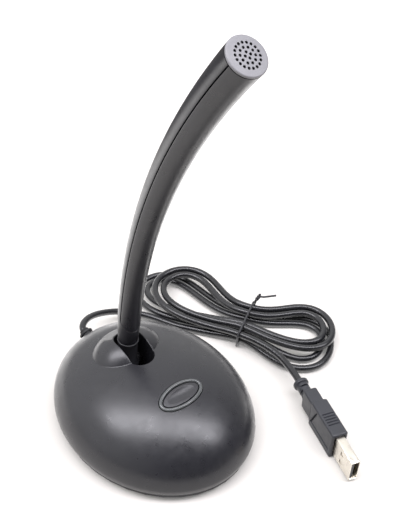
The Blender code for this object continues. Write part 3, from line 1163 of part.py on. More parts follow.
def main():
    make_base_shell()
    make_base_plate()
    make_ballast()
    make_feet()
    make_base_screws()
    make_knuckle()
    make_hinge_clamp()
    make_bushes()
    make_arm_shells()
    make_capsule(*make_end_cap())
    make_button()
    make_board()
    make_inner_leads()
    make_strain_relief()
    make_cable()
    make_tie()
    make_overmold()
    make_usb_shell()


main()
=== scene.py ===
import json
import math

import bpy
import numpy as np
from bpy.props import FloatProperty, FloatVectorProperty, PointerProperty
from mathutils import Matrix


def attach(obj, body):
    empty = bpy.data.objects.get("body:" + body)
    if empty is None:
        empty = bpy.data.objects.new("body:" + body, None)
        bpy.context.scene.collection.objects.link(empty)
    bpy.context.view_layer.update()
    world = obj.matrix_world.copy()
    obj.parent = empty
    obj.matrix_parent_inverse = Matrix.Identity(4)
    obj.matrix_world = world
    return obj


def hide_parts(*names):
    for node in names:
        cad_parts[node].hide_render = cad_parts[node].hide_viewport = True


bl_info = {
    "name": "Desk microphone looks",
    "version": (1, 0, 0),
    "blender": (4, 5, 0),
    "location": "3D View > Sidebar > Microphone",
    "description": "Surfaces and finishes of a desk microphone on its packed frame",
    "category": "Object",
}

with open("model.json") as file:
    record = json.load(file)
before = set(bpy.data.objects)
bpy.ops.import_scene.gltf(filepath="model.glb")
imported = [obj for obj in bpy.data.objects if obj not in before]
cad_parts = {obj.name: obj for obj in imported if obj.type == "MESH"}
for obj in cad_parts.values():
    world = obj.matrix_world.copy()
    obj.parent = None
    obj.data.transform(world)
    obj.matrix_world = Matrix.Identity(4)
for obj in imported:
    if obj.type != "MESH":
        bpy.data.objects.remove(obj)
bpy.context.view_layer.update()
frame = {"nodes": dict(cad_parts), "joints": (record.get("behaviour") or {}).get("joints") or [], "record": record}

MM = 0.001
DEG = math.pi / 180
GAP = 0.3 * MM
PIVOT = np.array(next(j["pos_m"] for j in frame["joints"] if j["name"] == "arm_tilt"))

# Route of the cable, in millimetres: out of the base, and the run to the plug in the hank's u, w and z
LEAD_ROUTE = ((1.4, 57.4, 16.0), (4.6, 59.6, 15.5), (9.6, 61.6, 13.8), (17.0, 62.9, 10.6),
              (26.5, 62.0, 6.6), (35.0, 57.4, 3.6), (41.0, 50.0, 2.3))
TAIL_ROUTE = ((13.0, -14.6, 8.6), (20.0, -16.9, 8.6), (27.0, -20.4, 8.2), (33.0, -25.3, 7.8))
TIE_PLACE = 2.0
TIE_KNOT = ((3.6, 11.6, 11.8), (5.4, 13.4, 14.6))
TIE_TAIL = ((7.6, 14.2, 13.0), (12.6, 17.8, 12.6))
USB_INNER_ROUTE = ((5.5, 41.0, 11.0), (13.5, 34.5, 10.7), (18.6, 22.0, 10.7), (19.2, 8.0, 10.7),
                   (16.0, -4.0, 10.8))
MIC_BASE_ROUTE = ((-15.5, 17.5, 20.3), (-17.0, 9.0, 18.2), (-15.8, -1.0, 15.8))

# Hank: u runs along it and w across it from the tie; pairs are the lower and the upper layer
HANK_PLACE = np.array((73.1, 15.9)) * MM
HANK_HEADING = -61.5 * DEG
HANK_ALONG = np.array((math.cos(HANK_HEADING), math.sin(HANK_HEADING), 0.0))
HANK_ACROSS = np.array((-math.sin(HANK_HEADING), math.cos(HANK_HEADING), 0.0))
HANK_TURNS = 4.072
HANK_START = 246.0 * DEG
HANK_PITCH = 4.6 * MM
WAIST_HALF = 2.25 * MM
LEFT_LOOP = np.array(((55.6, 42.0), (22.1, 19.8), (11.4, 13.3))) * MM
RIGHT_LOOP = np.array(((40.1, 40.3), (21.8, 21.8), (1.1, 9.7))) * MM
LOOSE_LOOPS = ((0.21, 0.12, 2.1), (4.15, 0.15, 2.0))

# Camera: place in metres, then its right, up and backward directions
CAMERA_PLACE = (-0.18455, -0.21809, 0.34607)
CAMERA_AXES = ((0.7425, -0.6686, 0.0423), (0.417, 0.5106, 0.752), (-0.5243, -0.5407, 0.6579))
CAMERA_LENS = 63.13


# Sizes and colours a user may change

def size(name, millimetres, description):
    """A length property with its default given in millimetres."""
    return FloatProperty(name=name, description=description, default=millimetres * MM, min=0.0,
                         unit="LENGTH", precision=5)


def angle(name, degrees, description):
    return FloatProperty(name=name, description=description, default=degrees * DEG, subtype="ANGLE")


def number(name, value, description):
    return FloatProperty(name=name, description=description, default=value)


def tint(name, value, description):
    return FloatVectorProperty(name=name, description=description, default=value, size=3, min=0.0, max=1.0,
                               subtype="COLOR")


class DomeSizes(bpy.types.PropertyGroup):
    """Sizes of the base shell and the hinge hump on it."""
    length: size("Length", 104.0, "Base from front to rear at its widest outline")
    width: size("Width", 87.0, "Base from side to side at its widest outline")
    top: size("Top", 34.6, "Apex above the table")
    belly: size("Belly", 8.0, "Height of the widest outline")
    setback: size("Setback", 3.2, "Apex behind the middle of the base")
    tuck: size("Tuck", 1.2, "How far the skirt draws in below the belly")
    rim: size("Rim", 3.9, "Lower edge above the table")
    wall: size("Wall", 2.2, "Thickness of the shell")
    hump_y: size("Hump place", 18.7, "Middle of the hump behind the middle of the base")
    hump_z: size("Hump height", 21.0, "Middle of the hump above the table")
    hump_x_half: size("Hump half width", 20.1, "Half axis of the hump across the base")
    hump_y_half: size("Hump half length", 17.0, "Half axis of the hump along the base")
    hump_z_half: size("Hump half height", 18.0, "Half axis of the hump upwards")
    crease: size("Crease", 0.22, "Softness of the crease between hump and dome")
    groove: size("Groove", 0.2, "Depth of the fine groove along the crease")
    flat_y: size("Flat place", 23.2, "Where the flat behind the slot starts")
    flat_z: size("Flat height", 37.5, "Height at which the flat starts")
    flat_tilt: angle("Flat tilt", 33.0, "Backward tilt of the flat behind the slot")
    slot_half: size("Slot half width", 6.2, "Half of the slot that the arm tilts in")
    slot_front: size("Slot front", 9.7, "Middle of the slot's round front end")
    slot_rear: size("Slot rear", 19.8, "Middle of the slot's round rear end")
    slot_edge: size("Slot edge", 0.4, "Radius of the slot's upper edge")
    well_wall: size("Well wall", 2.8, "Wall round the slot inside the shell")
    well_bottom: size("Well bottom", 13.5, "Lower end of the well above the table")


class ArmSizes(bpy.types.PropertyGroup):
    """Sizes of the arm, its socket and the end cap."""
    neck: size("Neck", 17.0, "Pivot to the socket's rim")
    ball: size("Ball", 5.6, "Radius of the knuckle's ball")
    lip: size("Socket lip", 0.35, "How far the socket's rim stands out")
    length: size("Length", 184.0, "Socket's rim to the front of the end cap")
    foot_lean: angle("Foot lean", 3.0, "Forward lean of the arm's foot")
    tip_lean: angle("Tip lean", 36.3, "Forward lean of the arm's tip")
    foot_radius: size("Foot radius", 5.2, "Radius of the arm above its foot")
    foot_draw: size("Foot draw", 0.6, "How far the foot draws in at its end")
    foot_length: size("Foot length", 14.0, "Length over which the foot draws in")
    tip_radius: size("Tip radius", 7.5, "Radius of the arm at its tip")
    taper: number("Taper", 1.4, "Power of the taper along the arm")
    wall: size("Wall", 1.6, "Thickness of the two shells")
    seam_start: size("Seam start", 15.0, "Where the front shell starts on the flanks")
    seam_drop: number("Seam drop", 1.35, "Slope of the front shell's lower edge")
    seam_edge: size("Seam edge", 0.3, "Rounding of the shells along the seam")
    cap_rim: size("Cap rim", 1.0, "Height of the end cap's rim")
    cap_crown: size("Cap crown", 0.35, "Rise of the cap's face above its rim")
    cap_round: size("Cap rounding", 0.6, "Radius of the cap's front edge")
    hole: size("Sound hole", 0.5, "Radius of a sound hole")


class ButtonSizes(bpy.types.PropertyGroup):
    """Sizes of the push button and the bead round it."""
    place: FloatProperty(name="Place", description="Middle of the button along the base", default=-18.6 * MM,
                         unit="LENGTH", precision=5)
    bead_length: size("Bead half length", 10.9, "To the middle of the bead")
    bead_width: size("Bead half width", 5.2, "To the middle of the bead")
    bead: size("Bead", 0.8, "Radius of the bead")
    clearance: size("Clearance", 0.35, "Gap between the button and its hole")
    proud: size("Proud", 0.3, "How far the button's edge stands above the dome")
    dish: size("Dish", 1.1, "Depth of the button's dish")
    edge: size("Edge", 0.35, "Rounding of the button's edge")
    flange: size("Flange depth", 3.7, "Flange below the dome's surface")


class CableSizes(bpy.types.PropertyGroup):
    """Sizes of the cable, its tie and its sleeve."""
    radius: size("Radius", 1.75, "Radius of the cable")
    lead_radius: size("Inner lead", 1.0, "Radius of the microphone's lead")
    tie: size("Tie", 0.55, "Radius of the wire tie")
    sleeve: size("Sleeve", 3.6, "Length of the sleeve outside the dome")


class PlugSizes(bpy.types.PropertyGroup):
    """Sizes of the plug."""
    x: FloatProperty(name="Place X", description="Front of the plug's moulding", default=49.4 * MM,
                     unit="LENGTH", precision=5)
    y: FloatProperty(name="Place Y", description="Front of the plug's moulding", default=-72.2 * MM,
                     unit="LENGTH", precision=5)
    heading: angle("Heading", -110.7, "Direction that the plug points in")
    length: size("Length", 22.0, "Length of the moulding's grip")
    width: size("Width", 8.0, "Thickness of the grip")
    height: size("Height", 15.4, "Height of the grip as it lies")
    rounding: size("Rounding", 1.0, "Radius of the grip's edges")
    neck: size("Neck", 9.3, "Length of the block behind the grip")
    relief: size("Relief", 9.0, "Length of the sleeve on the cable")
    can_height: size("Can height", 12.0, "Wide side of the metal can")
    can_width: size("Can width", 4.5, "Narrow side of the metal can")
    can_length: size("Can length", 15.0, "Metal can in front of the moulding")
    can_wall: size("Can wall", 0.4, "Thickness of the sheet")


class Finishes(bpy.types.PropertyGroup):
    """Colours of the finishes."""
    satin_black: tint("Satin black", (0.0125, 0.0125, 0.0155), "Grained plastic of the base and the arm")
    black_plastic: tint("Black plastic", (0.018, 0.018, 0.021), "Plain moulded plastic")
    # The bead is glossy black plastic; its colour is lifted to a dark grey as a painted highlight, in place of the
    # light its curved ridge mirrors all round.
    gloss_black: tint("Gloss black", (0.065, 0.069, 0.070), "Bead round the button")
    light_grey: tint("Light grey", (0.166, 0.164, 0.174), "End cap")
    black_rubber: tint("Black rubber", (0.011, 0.011, 0.012), "Feet and sleeve")
    cable_jacket: tint("Cable jacket", (0.0065, 0.0065, 0.008), "Cable and leads")
    plug_plastic: tint("Plug plastic", (0.018, 0.019, 0.024), "Plug's moulding")
    steel: tint("Steel", (0.55, 0.55, 0.56), "Screws and ballast")
    nickel: tint("Nickel", (0.69, 0.65, 0.58), "Plug's can")
    gold: tint("Gold", (0.83, 0.65, 0.30), "Plug's contacts")
    aluminium: tint("Aluminium", (0.60, 0.60, 0.61), "Drawn cans")
    board: tint("Board", (0.03, 0.16, 0.07), "Circuit board")
    nylon: tint("Nylon", (0.75, 0.74, 0.70), "Headers and bushes")
    floor: tint("Floor", (0.50, 0.482, 0.455), "Table top")


# Meshes from grids of points

def volume_of(verts, corners):
    """Signed volume of fans of triangles: a sixth of the sum of each triangle's triple product."""
    a = verts[corners[:, 0]]
    total = 0.0
    for i in range(1, corners.shape[1] - 1):
        total += np.einsum("ij,ij->i", a, np.cross(verts[corners[:, i]], verts[corners[:, i + 1]])).sum()
    return total / 6


def skin(rows, ring=True, loop=False, start=None, end=None):
    """Closed mesh over a grid of points [row, column].

    Quads join neighbours; ring joins the last column to the first, and loop the last row to the first.
    start and end close the first and the last row: a point by a fan, the word face by one flat face.
    The faces are turned so that the volume they enclose is positive.
    """
    count, across = rows.shape[:2]
    verts = rows.reshape(-1, 3)
    r = np.arange(count if loop else count - 1)[:, None]
    c = np.arange(across if ring else across - 1)[None, :]
    r_next, c_next = (r + 1) % count, (c + 1) % across
    quads = np.stack([r * across + c, r * across + c_next, r_next * across + c_next, r_next * across + c], -1)
    quads = quads.reshape(-1, 4)
    inside = volume_of(verts, quads)
    faces = quads.tolist()
    for closing, row, step in ((start, 0, -1), (end, count - 1, 1)):
        if closing is None:
            continue
        edge = row * across + np.arange(across)[::step]
        if isinstance(closing, str):
            inside += volume_of(verts, edge[None])
            faces.append(edge.tolist())
        else:
            hub = np.full(across, len(verts))
            verts = np.vstack([verts, np.reshape(closing, (1, 3))])
            fan = np.stack([edge, np.roll(edge, -1), hub], -1)
            inside += volume_of(verts, fan)
            faces += fan.tolist()
    if inside < 0:
        faces = [face[::-1] for face in faces]
    mesh = bpy.data.meshes.new("skin")
    mesh.from_pydata(verts.tolist(), [], faces)
    return mesh


def joined(meshes):
    """One mesh of several, each kept as it is."""
    verts, faces, base = [], [], 0
    for mesh in meshes:
        place = np.empty(len(mesh.vertices) * 3)
        mesh.vertices.foreach_get("co", place)
        verts.append(place.reshape(-1, 3))
        faces += [[base + i for i in polygon.vertices] for polygon in mesh.polygons]
        base += len(mesh.vertices)
        bpy.data.meshes.remove(mesh)
    whole = bpy.data.meshes.new("joined")
    whole.from_pydata(np.vstack(verts).tolist(), [], faces)
    return whole


def carved(blank, *tools):
    """Mesh left of a closed blank after exact Booleans with (operation, closed mesh) in turn."""
    scratch = [bpy.data.objects.new("blank", blank)]
    for operation, mesh in tools:
        helper = bpy.data.objects.new("tool", mesh)
        modifier = scratch[0].modifiers.new("carve", "BOOLEAN")
        modifier.object, modifier.operation, modifier.solver = helper, operation, "EXACT"
        scratch.append(helper)
    for item in scratch:
        bpy.context.scene.collection.objects.link(item)
    graph = bpy.context.evaluated_depsgraph_get()
    mesh = bpy.data.meshes.new_from_object(scratch[0].evaluated_get(graph))
    for item in scratch:
        data = item.data
        bpy.data.objects.remove(item, do_unlink=True)
        bpy.data.meshes.remove(data)
    if not mesh.polygons:
        raise RuntimeError("a Boolean left nothing of its blank")
    return mesh


def add_piece(name, mesh, finish, slot, body, *nodes, crisp=35.0):
    """A finished piece in the scene: smooth but for edges sharper than crisp degrees, riding on a body."""
    mesh.name = name
    piece = bpy.data.objects.new(name, mesh)
    mesh.materials.clear()
    mesh.materials.append(finish)
    mesh.shade_smooth()
    mesh.set_sharp_from_angle(angle=crisp * DEG)
    bpy.context.scene.collection.objects.link(piece)
    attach(piece, body)
    if nodes:
        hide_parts(*nodes)
    return piece


def unit(v):
    return v / np.linalg.norm(v, axis=-1, keepdims=True)


def circle(count, radius=1.0, start=0.0):
    """Points of a circle, anticlockwise."""
    turn = start + np.arange(count) * (2 * math.pi / count)
    return radius * np.stack([np.cos(turn), np.sin(turn)], -1)


def along_path(path, radius, sides, hint, loop=False):
    """Rings of a round tube: at each point of the path a circle across the path's direction.

    The circle's axes are the direction crossed with a hint, and that crossed with the direction.
    """
    if loop:
        heading = unit(np.roll(path, -1, 0) - np.roll(path, 1, 0))
    else:
        heading = unit(np.gradient(path, axis=0))
    side = unit(np.cross(heading, hint))
    up = np.cross(side, heading)
    ring = circle(sides)
    radius = np.broadcast_to(radius, (len(path),))[:, None, None]
    return path[:, None] + radius * (ring[None, :, :1] * side[:, None] + ring[None, :, 1:] * up[:, None])


def tube(path, radius, sides, hint=(0.0, 0.0, 1.0)):
    """A round tube along a path, closed by a fan at each end."""
    return skin(along_path(path, radius, sides, hint), start=path[0], end=path[-1])


def turned_rows(profile, sides, place):
    """Rings of a profile of (radius, height) points turned round Z, in place: x = r cos t, y = r sin t."""
    profile = np.array(profile, float)
    across = profile[:, None, :1] * circle(sides)[None]
    heights = np.broadcast_to(profile[:, None, 1:], (len(profile), sides, 1))
    return put(np.concatenate([across, heights], -1), place)


def turned(profile, sides, place):
    """A profile turned round Z and closed on the axis at both ends."""
    start, end = [put(np.array((0.0, 0.0, profile[i][1])), place) for i in (0, -1)]
    return skin(turned_rows(profile, sides, place), start=start, end=end)


def turned_ring(profile, sides, place):
    """A closed profile turned round Z: a ring with a hole."""
    return skin(turned_rows(profile, sides, place), loop=True)


def put(points, place):
    """Points moved into a frame given as (origin, three axes)."""
    origin, axes = place
    return np.asarray(points) @ np.asarray(axes) + np.asarray(origin)


def rounded(corner_r, corner_z, radius, from_angle, to_angle, count=6):
    """Points of an arc in (radius, height) about a middle, between two angles in degrees."""
    a = np.linspace(from_angle, to_angle, count) * DEG
    return list(zip(corner_r + radius * np.cos(a), corner_z + radius * np.sin(a)))


def box_mesh(low, high, place):
    """A plain block between two corners in a frame, as a tool to cut with."""
    x, y, z = [np.array(pair) for pair in zip(low, high)]
    outline = np.array([(y[0], z[0]), (y[1], z[0]), (y[1], z[1]), (y[0], z[1])])
    rows = np.stack([np.column_stack([np.full(4, end), outline]) for end in x])
    return skin(put(rows, place), start="face", end="face")


def lengths_along(path):
    """Length of a path up to each of its points."""
    return np.concatenate([[0.0], np.cumsum(np.linalg.norm(np.diff(path, axis=0), axis=1))])


def smooth_route(points, count):
    """Points read evenly along a Catmull-Rom curve; the first and last steps of the route stay straight."""
    route = np.array(points, dtype=float)
    ends = np.vstack([2 * route[0] - route[1], route, 2 * route[-1] - route[-2]])
    steps = 40
    t = np.linspace(0.0, 1.0, steps, endpoint=False)[None, :, None]
    a, b, c, d = [ends[i:len(ends) - 3 + i, None] for i in range(4)]
    square, cube = 2 * a - 5 * b + 4 * c - d, 3 * b - a - 3 * c + d
    dense = 0.5 * (2 * b + (c - a) * t + square * t ** 2 + cube * t ** 3)
    dense = np.vstack([dense.reshape(-1, 3), route[-1]])
    along = lengths_along(dense)
    wanted = np.linspace(along[steps], along[-1 - steps], count - 2)
    middle = np.stack([np.interp(wanted, along, dense[:, axis]) for axis in range(3)], axis=1)
    return np.vstack([route[0], middle, route[-1]])


# Frame at the hinge whose Z runs along its axis, the reach of the trunnions and of the sleeve inside the base
HINGE_PLACE = (tuple(PIVOT), ((0, 1, 0), (0, 0, 1), (1, 0, 0)))
TRUNNION_END = 10.4 * MM
SLEEVE_INSIDE = 4.6 * MM


# The dome and its hump

def smooth_min(a, b, softness):
    """The lower of two fields, with a parabola across the crease where they differ by less than softness."""
    share = np.clip(0.5 + 0.5 * (b - a) / softness, 0.0, 1.0)
    return b + (a - b) * share - softness * share * (1 - share)


def base_fields(points, s, inset=0.0):
    """About how far points lie outside the dome and outside the hump, negative inside.

    Each ellipsoid's field is the length of the point in half axes, less one, times its half height. The
    dome's y is first moved back by its lean above the belly. A tilted plane cuts the hump flat at its rear.
    """
    rise = s.top - s.belly
    x, y, z = points[..., 0], points[..., 1], points[..., 2]
    lean = y - s.setback / rise * np.maximum(z - s.belly, 0.0)
    dome = np.sqrt((x / (s.width / 2 - inset)) ** 2 + (lean / (s.length / 2 - inset)) ** 2
                   + ((z - s.belly) / (rise - inset)) ** 2)
    hump = np.sqrt((x / (s.hump_x_half - inset)) ** 2 + ((y - s.hump_y) / (s.hump_y_half - inset)) ** 2
                   + ((z - s.hump_z) / (s.hump_z_half - inset)) ** 2)
    flat = (y - s.flat_y) * math.sin(s.flat_tilt) + (z - s.flat_z) * math.cos(s.flat_tilt) + inset
    return (dome - 1) * (rise - inset), -smooth_min((1 - hump) * (s.hump_z_half - inset), -flat, 0.5 * MM)


def outside_base(points, s, inset=0.0):
    """The lower of the two fields, with a fine groove where they are equal that fades to the front left."""
    dome, hump = base_fields(points, s, inset)
    side = np.clip(0.5 + (points[..., 0] + points[..., 1] - s.hump_y) / (15.0 * MM), 0.0, 1.0)
    return smooth_min(dome, hump, s.crease) + s.groove * side * np.exp(-((dome - hump) / (0.16 * MM)) ** 2)


def base_height(x, y, s):
    """Height of the base's skin above places on the table, found by halving between belly and sky."""
    low = np.full(np.shape(x), s.belly)
    high = np.full(np.shape(x), s.top + s.hump_z_half)
    for _ in range(40):
        middle = (low + high) / 2
        inside = outside_base(np.stack([x, y, middle], -1), s) < 0
        low, high = np.where(inside, middle, low), np.where(inside, high, middle)
    return (low + high) / 2


def dome_height(x, y, s):
    """Height of the dome alone, from the quadratic of its leaning ellipsoid."""
    rise, a = s.top - s.belly, s.length / 2
    k = s.setback / rise
    p = k ** 2 / a ** 2 + 1 / rise ** 2
    q = y * k / a ** 2
    return s.belly + (q + np.sqrt(q * q - p * ((2 * x / s.width) ** 2 + (y / a) ** 2 - 1))) / p


def base_skin(s, inset, bottom, columns, rows):
    """Dome and hump less a depth, closed below.

    The skirt is an oval whose radius falls off as a square below the belly. Above it, each column of rays
    goes out from the middle of the belly through a straight line from the oval to the hump's top, and halving
    finds where a ray leaves the base. Halving along the line finds the crease, so that a row runs along it.
    """
    turn = circle(columns)
    half_x, half_y = s.width / 2 - inset, s.length / 2 - inset
    lip = 0.25 * MM
    heights = np.concatenate([[bottom], np.linspace(bottom + lip, s.belly, 9)])
    drop = (s.belly - heights) / (s.belly - s.rim)
    share = 1 - s.tuck * drop ** 2 / half_y
    share[0] -= lip / half_y
    skirt = np.stack([np.multiply.outer(share, half_x * turn[:, 0]),
                      np.multiply.outer(share, half_y * turn[:, 1]),
                      np.broadcast_to(heights[:, None], (len(heights), columns))], -1)
    middle = np.array((0.0, 0.0, s.belly))
    peak = np.array((0.0, s.hump_y + 1.8 * MM, s.top))

    def leave(share):
        """Points where rays through the lines at a share of their length leave the base."""
        ray = unit(skirt[-1] * (1 - share[..., None]) + peak * share[..., None] - middle)
        near, far = np.zeros(share.shape), np.full(share.shape, s.length)
        for _ in range(36):
            reach = (near + far) / 2
            inside = outside_base(middle + ray * reach[..., None], s, inset) < 0
            near, far = np.where(inside, reach, near), np.where(inside, far, reach)
        return middle + ray * near[..., None]

    low, high = np.full(columns, 0.02), np.full(columns, 0.99)
    for _ in range(30):
        crease = (low + high) / 2
        dome, hump = base_fields(leave(crease), s, inset)
        low, high = np.where(dome < hump, crease, low), np.where(dome < hump, high, crease)
    fine = np.array((0.0016, 0.0034, 0.0056, 0.0085, 0.0125, 0.018, 0.026))
    outer = np.concatenate([np.linspace(1.0, 0.035, rows)[1:], fine[::-1], [0.0]])[:, None]
    inner = np.concatenate([fine * 2, np.linspace(0.07, 1.0, rows // 2)[:-1]])[:, None]
    crown = leave(np.concatenate([crease * (1 - outer), crease + (1 - crease) * inner]))
    top = leave(np.array([0.9999]).repeat(columns))[0]
    return skin(np.concatenate([skirt, crown]), start="face", end=top)


def slot_outline(half, front, rear, count):
    """Outline of a slot along Y with round ends, anticlockwise, and its outward directions."""
    share = np.linspace(0.0, math.pi, count)
    run = np.linspace(0.0, 1.0, count // 2)[1:-1, None]
    rear_end = np.stack([np.cos(share), np.sin(share)], -1)
    out = np.vstack([rear_end, np.broadcast_to((-1.0, 0.0), (len(run), 2)), -rear_end,
                     np.broadcast_to((1.0, 0.0), (len(run), 2))])
    middle = np.vstack([np.full((count, 1), rear), rear + (front - rear) * run, np.full((count, 1), front),
                        front + (rear - front) * run])
    return np.column_stack([half * out[:, 0], middle[:, 0] + half * out[:, 1]]), out


def slot_cutter(s):
    """Tool for the slot: straight walls that flare at the skin by an arc of the edge's radius.

    The arc touches the wall and the skin's slope: its middle lies one radius out from the wall, and below
    the skin by the radius times the root of one plus the slope squared.
    """
    outline, out = slot_outline(s.slot_half, s.slot_front, s.slot_rear, 41)
    edge = s.slot_edge
    near = base_height(outline[:, 0], outline[:, 1], s)
    away = outline + out * 2 * edge
    slope = (base_height(away[:, 0], away[:, 1], s) - near) / (2 * edge)
    steep = np.sqrt(1 + slope ** 2)
    middle = near + slope * edge - edge * steep
    last = math.pi - np.arctan2(1.0, -slope)
    rows = [np.column_stack([outline, np.full(len(outline), s.well_bottom - 1 * MM)])]
    for share in np.linspace(0.0, 1.0, 7):
        turn = math.pi - share * last
        offset = edge + edge * np.cos(turn)
        rows.append(np.column_stack([outline + out * offset[:, None], middle + edge * np.sin(turn)]))
    clear = rows[-1].copy()
    clear[:, :2] += out * (-slope / steep * 2 * MM)[:, None]
    clear[:, 2] += 2 * MM / steep
    sky = clear.copy()
    sky[:, 2] = s.top + s.hump_z_half
    return skin(np.stack([*rows, clear, sky]), start="face", end="face")


def button_place(dome, b):
    """Frame of the button: on the dome's centre line, tilted as the dome is there."""
    step = 0.1 * MM
    behind, before = [dome_height(0.0, b.place + shift, dome) for shift in (step, -step)]
    tilt = math.atan2(behind - before, 2 * step)
    axes = ((1.0, 0.0, 0.0), (0.0, math.cos(tilt), math.sin(tilt)), (0.0, -math.sin(tilt), math.cos(tilt)))
    return (0.0, b.place, dome_height(0.0, b.place, dome)), axes


def on_dome(x, y, place, dome):
    """Height in the button's frame of the dome's skin over points of that frame, by repeated correction."""
    z = np.zeros(np.shape(x))
    for _ in range(10):
        world = put(np.stack([x, y, z], -1), place)
        z = z + (dome_height(world[..., 0], world[..., 1], dome) - world[..., 2]) * place[1][2][2]
    return z


def bead_path(dome, b, count=180):
    """The bead's middle line: an ellipse in the button's frame, laid on the dome."""
    oval = circle(count) * (b.bead_length, b.bead_width)
    place = button_place(dome, b)
    return put(np.column_stack([oval, on_dome(oval[:, 0], oval[:, 1], place, dome)]), place)


def relief_place(s):
    """Frame of the cable's sleeve: on the rear of the dome, its Z out of the base and a little up."""
    height, rise = 14.5 * MM, s.top - s.belly
    share = (height - s.belly) / rise
    y = s.length / 2 * math.sqrt(1 - share ** 2) + s.setback * share
    tilt = 18 * DEG
    axes = ((1.0, 0.0, 0.0), (0.0, math.sin(tilt), -math.cos(tilt)), (0.0, math.cos(tilt), math.sin(tilt)))
    return (0.0, y, height), axes


def base_shell_mesh(s, b):
    """The hollow dome with its well, slot, button hole, bead groove, hinge seats and cable hole."""
    well, _ = slot_outline(s.slot_half + s.well_wall, s.slot_front, s.slot_rear, 33)
    ends = (s.well_bottom, s.top + s.hump_z_half)
    post = np.stack([np.column_stack([well, np.full(len(well), z)]) for z in ends])
    cavity = carved(base_skin(s, s.wall, s.rim - 1 * MM, 96, 32),
                    ("DIFFERENCE", skin(post, start="face", end="face")))
    reach, seat = s.slot_half + s.well_wall + GAP, 4.5 * MM
    level = (tuple(PIVOT), np.eye(3))
    place = button_place(s, b)
    hole = circle(120) * (b.bead_length - b.bead, b.bead_width - b.bead)
    opening = np.stack([put(np.column_stack([hole, np.full(120, z)]), place) for z in (-7 * MM, 7 * MM)])
    groove = along_path(bead_path(s, b), b.bead + GAP, 16, (0.0, 0.0, 1.0), loop=True)
    return carved(
        base_skin(s, 0.0, s.rim, 300, 100),
        ("DIFFERENCE", cavity),
        ("DIFFERENCE", slot_cutter(s)),
        ("DIFFERENCE", turned([(seat, -reach), (seat, reach)], 32, HINGE_PLACE)),
        ("DIFFERENCE", box_mesh((-reach, -seat, s.well_bottom - PIVOT[2] - GAP), (reach, seat, 0.0), level)),
        ("DIFFERENCE", skin(opening, start="face", end="face")),
        ("DIFFERENCE", skin(groove, loop=True)),
        ("DIFFERENCE", turned([(3.0 * MM, -7 * MM), (3.0 * MM, 7 * MM)], 32, relief_place(s))),
    )


# The arm

def arm_frames(distance, s):
    """Middle line of the arm past the socket's rim: an arc whose lean grows evenly from foot to tip.

    Gives the points and, for each, the direction across to the rear and the direction along the arm.
    """
    bend = s.length / (s.tip_lean - s.foot_lean)
    lean = s.foot_lean + np.asarray(distance) / bend
    zero = np.zeros_like(lean)
    y = -s.neck * math.sin(s.foot_lean) - bend * (math.cos(s.foot_lean) - np.cos(lean))
    z = s.neck * math.cos(s.foot_lean) + bend * (np.sin(lean) - math.sin(s.foot_lean))
    rear = np.stack([zero, np.cos(lean), np.sin(lean)], -1)
    ahead = np.stack([zero, -np.sin(lean), np.cos(lean)], -1)
    return PIVOT + np.stack([zero, y, z], -1), rear, ahead


def arm_radius(distance, s):
    """Foot radius plus the widening times a power of the share of the arm's length."""
    share = np.clip(np.asarray(distance) / s.length, 0.0, 1.0)
    return s.foot_radius + (s.tip_radius - s.foot_radius) * share ** s.taper


def arm_surface(turn, distance, depth, s):
    """Point of the arm at an angle from the rear, a distance along it and a depth below its skin.

    The skin, and less so what lies below it, draws in at the foot by a square of the way to its end.
    """
    middle, rear, _ = arm_frames(distance, s)
    draw = s.foot_draw * np.clip(1 - distance / s.foot_length, 0.0, 1.0) ** 2
    radius = (arm_radius(distance, s) - depth - draw * (1 - depth / s.wall))[..., None]
    side = np.stack([np.sin(turn), np.zeros_like(turn), np.zeros_like(turn)], -1)
    return middle + radius * (side + np.cos(turn)[..., None] * rear)


def front_edge(turn, s, gap):
    """Distance along the arm at which its skin meets the front shell's slanted lower edge, by halving.

    The edge is a plane that rises to the rear with the drop's slope through the seam's start.
    """
    (start,), _, _ = arm_frames(np.array([s.seam_start + gap]), s)
    low, high = np.zeros(turn.shape), np.full(turn.shape, s.seam_start * 2)
    for _ in range(40):
        middle = (low + high) / 2
        point = arm_surface(turn, middle, np.zeros(turn.shape), s)
        above = point[..., 2] - start[2] > s.seam_drop * (point[..., 1] - start[1])
        low, high = np.where(above, low, middle), np.where(above, middle, high)
    return (low + high) / 2


def closed_gutter(both, distance, depth, s):
    """A gutter from the angle of each column, out and back, and each point's distance and depth."""
    points = arm_surface(np.broadcast_to(both, distance.shape), distance, depth, s)
    return skin(points, start="face", end="face")


def half_shell(turn, start, end, s, rows, edge_from):
    """One half of the arm as a closed gutter.

    The columns run over the skin from one edge to the other and back inside, a wall lower; the rows run from
    start to end, both given for each angle. Past edge_from the skin's edges are rounded by a quarter circle.
    """
    foot = 0.06
    share = np.concatenate([[0.0], np.geomspace(0.02, 1.0, 40) * foot, np.linspace(foot, 1.0, rows)[1:]])
    share = share[:, None]
    both = np.concatenate([turn, turn[::-1]])
    distance = np.concatenate([start, start[::-1]]) * (1 - share) + end * share
    from_edge = np.minimum(both - turn[0], turn[-1] - both) * arm_radius(distance, s)
    grown = np.clip((distance - edge_from) / (1.0 * MM), 0.0, 1.0)
    edge = np.maximum(s.seam_edge * grown, 1e-9)
    inward = np.clip(1 - from_edge / edge, 0.0, 1.0)
    skin_depth = edge * (1 - np.sqrt(1 - inward ** 2))
    outer = np.arange(len(both)) < len(turn)
    depth = np.where(outer, skin_depth, s.wall)
    return closed_gutter(both, distance, depth, s)


def edge_turns(first, last, s):
    """Angles between two edges, close together where the edges are rounded."""
    fine = np.array((0.0, 0.02, 0.08, 0.18, 0.35, 0.6, 1.0)) * s.seam_edge / s.foot_radius
    middle = np.linspace(first + fine[-1], last - fine[-1], 41)[1:-1]
    return np.concatenate([first + fine, middle, last - fine[::-1]])


def arm_end(s):
    """Where the arm's shells end, a gap short of the cap's rim."""
    return s.length - s.cap_rim - GAP


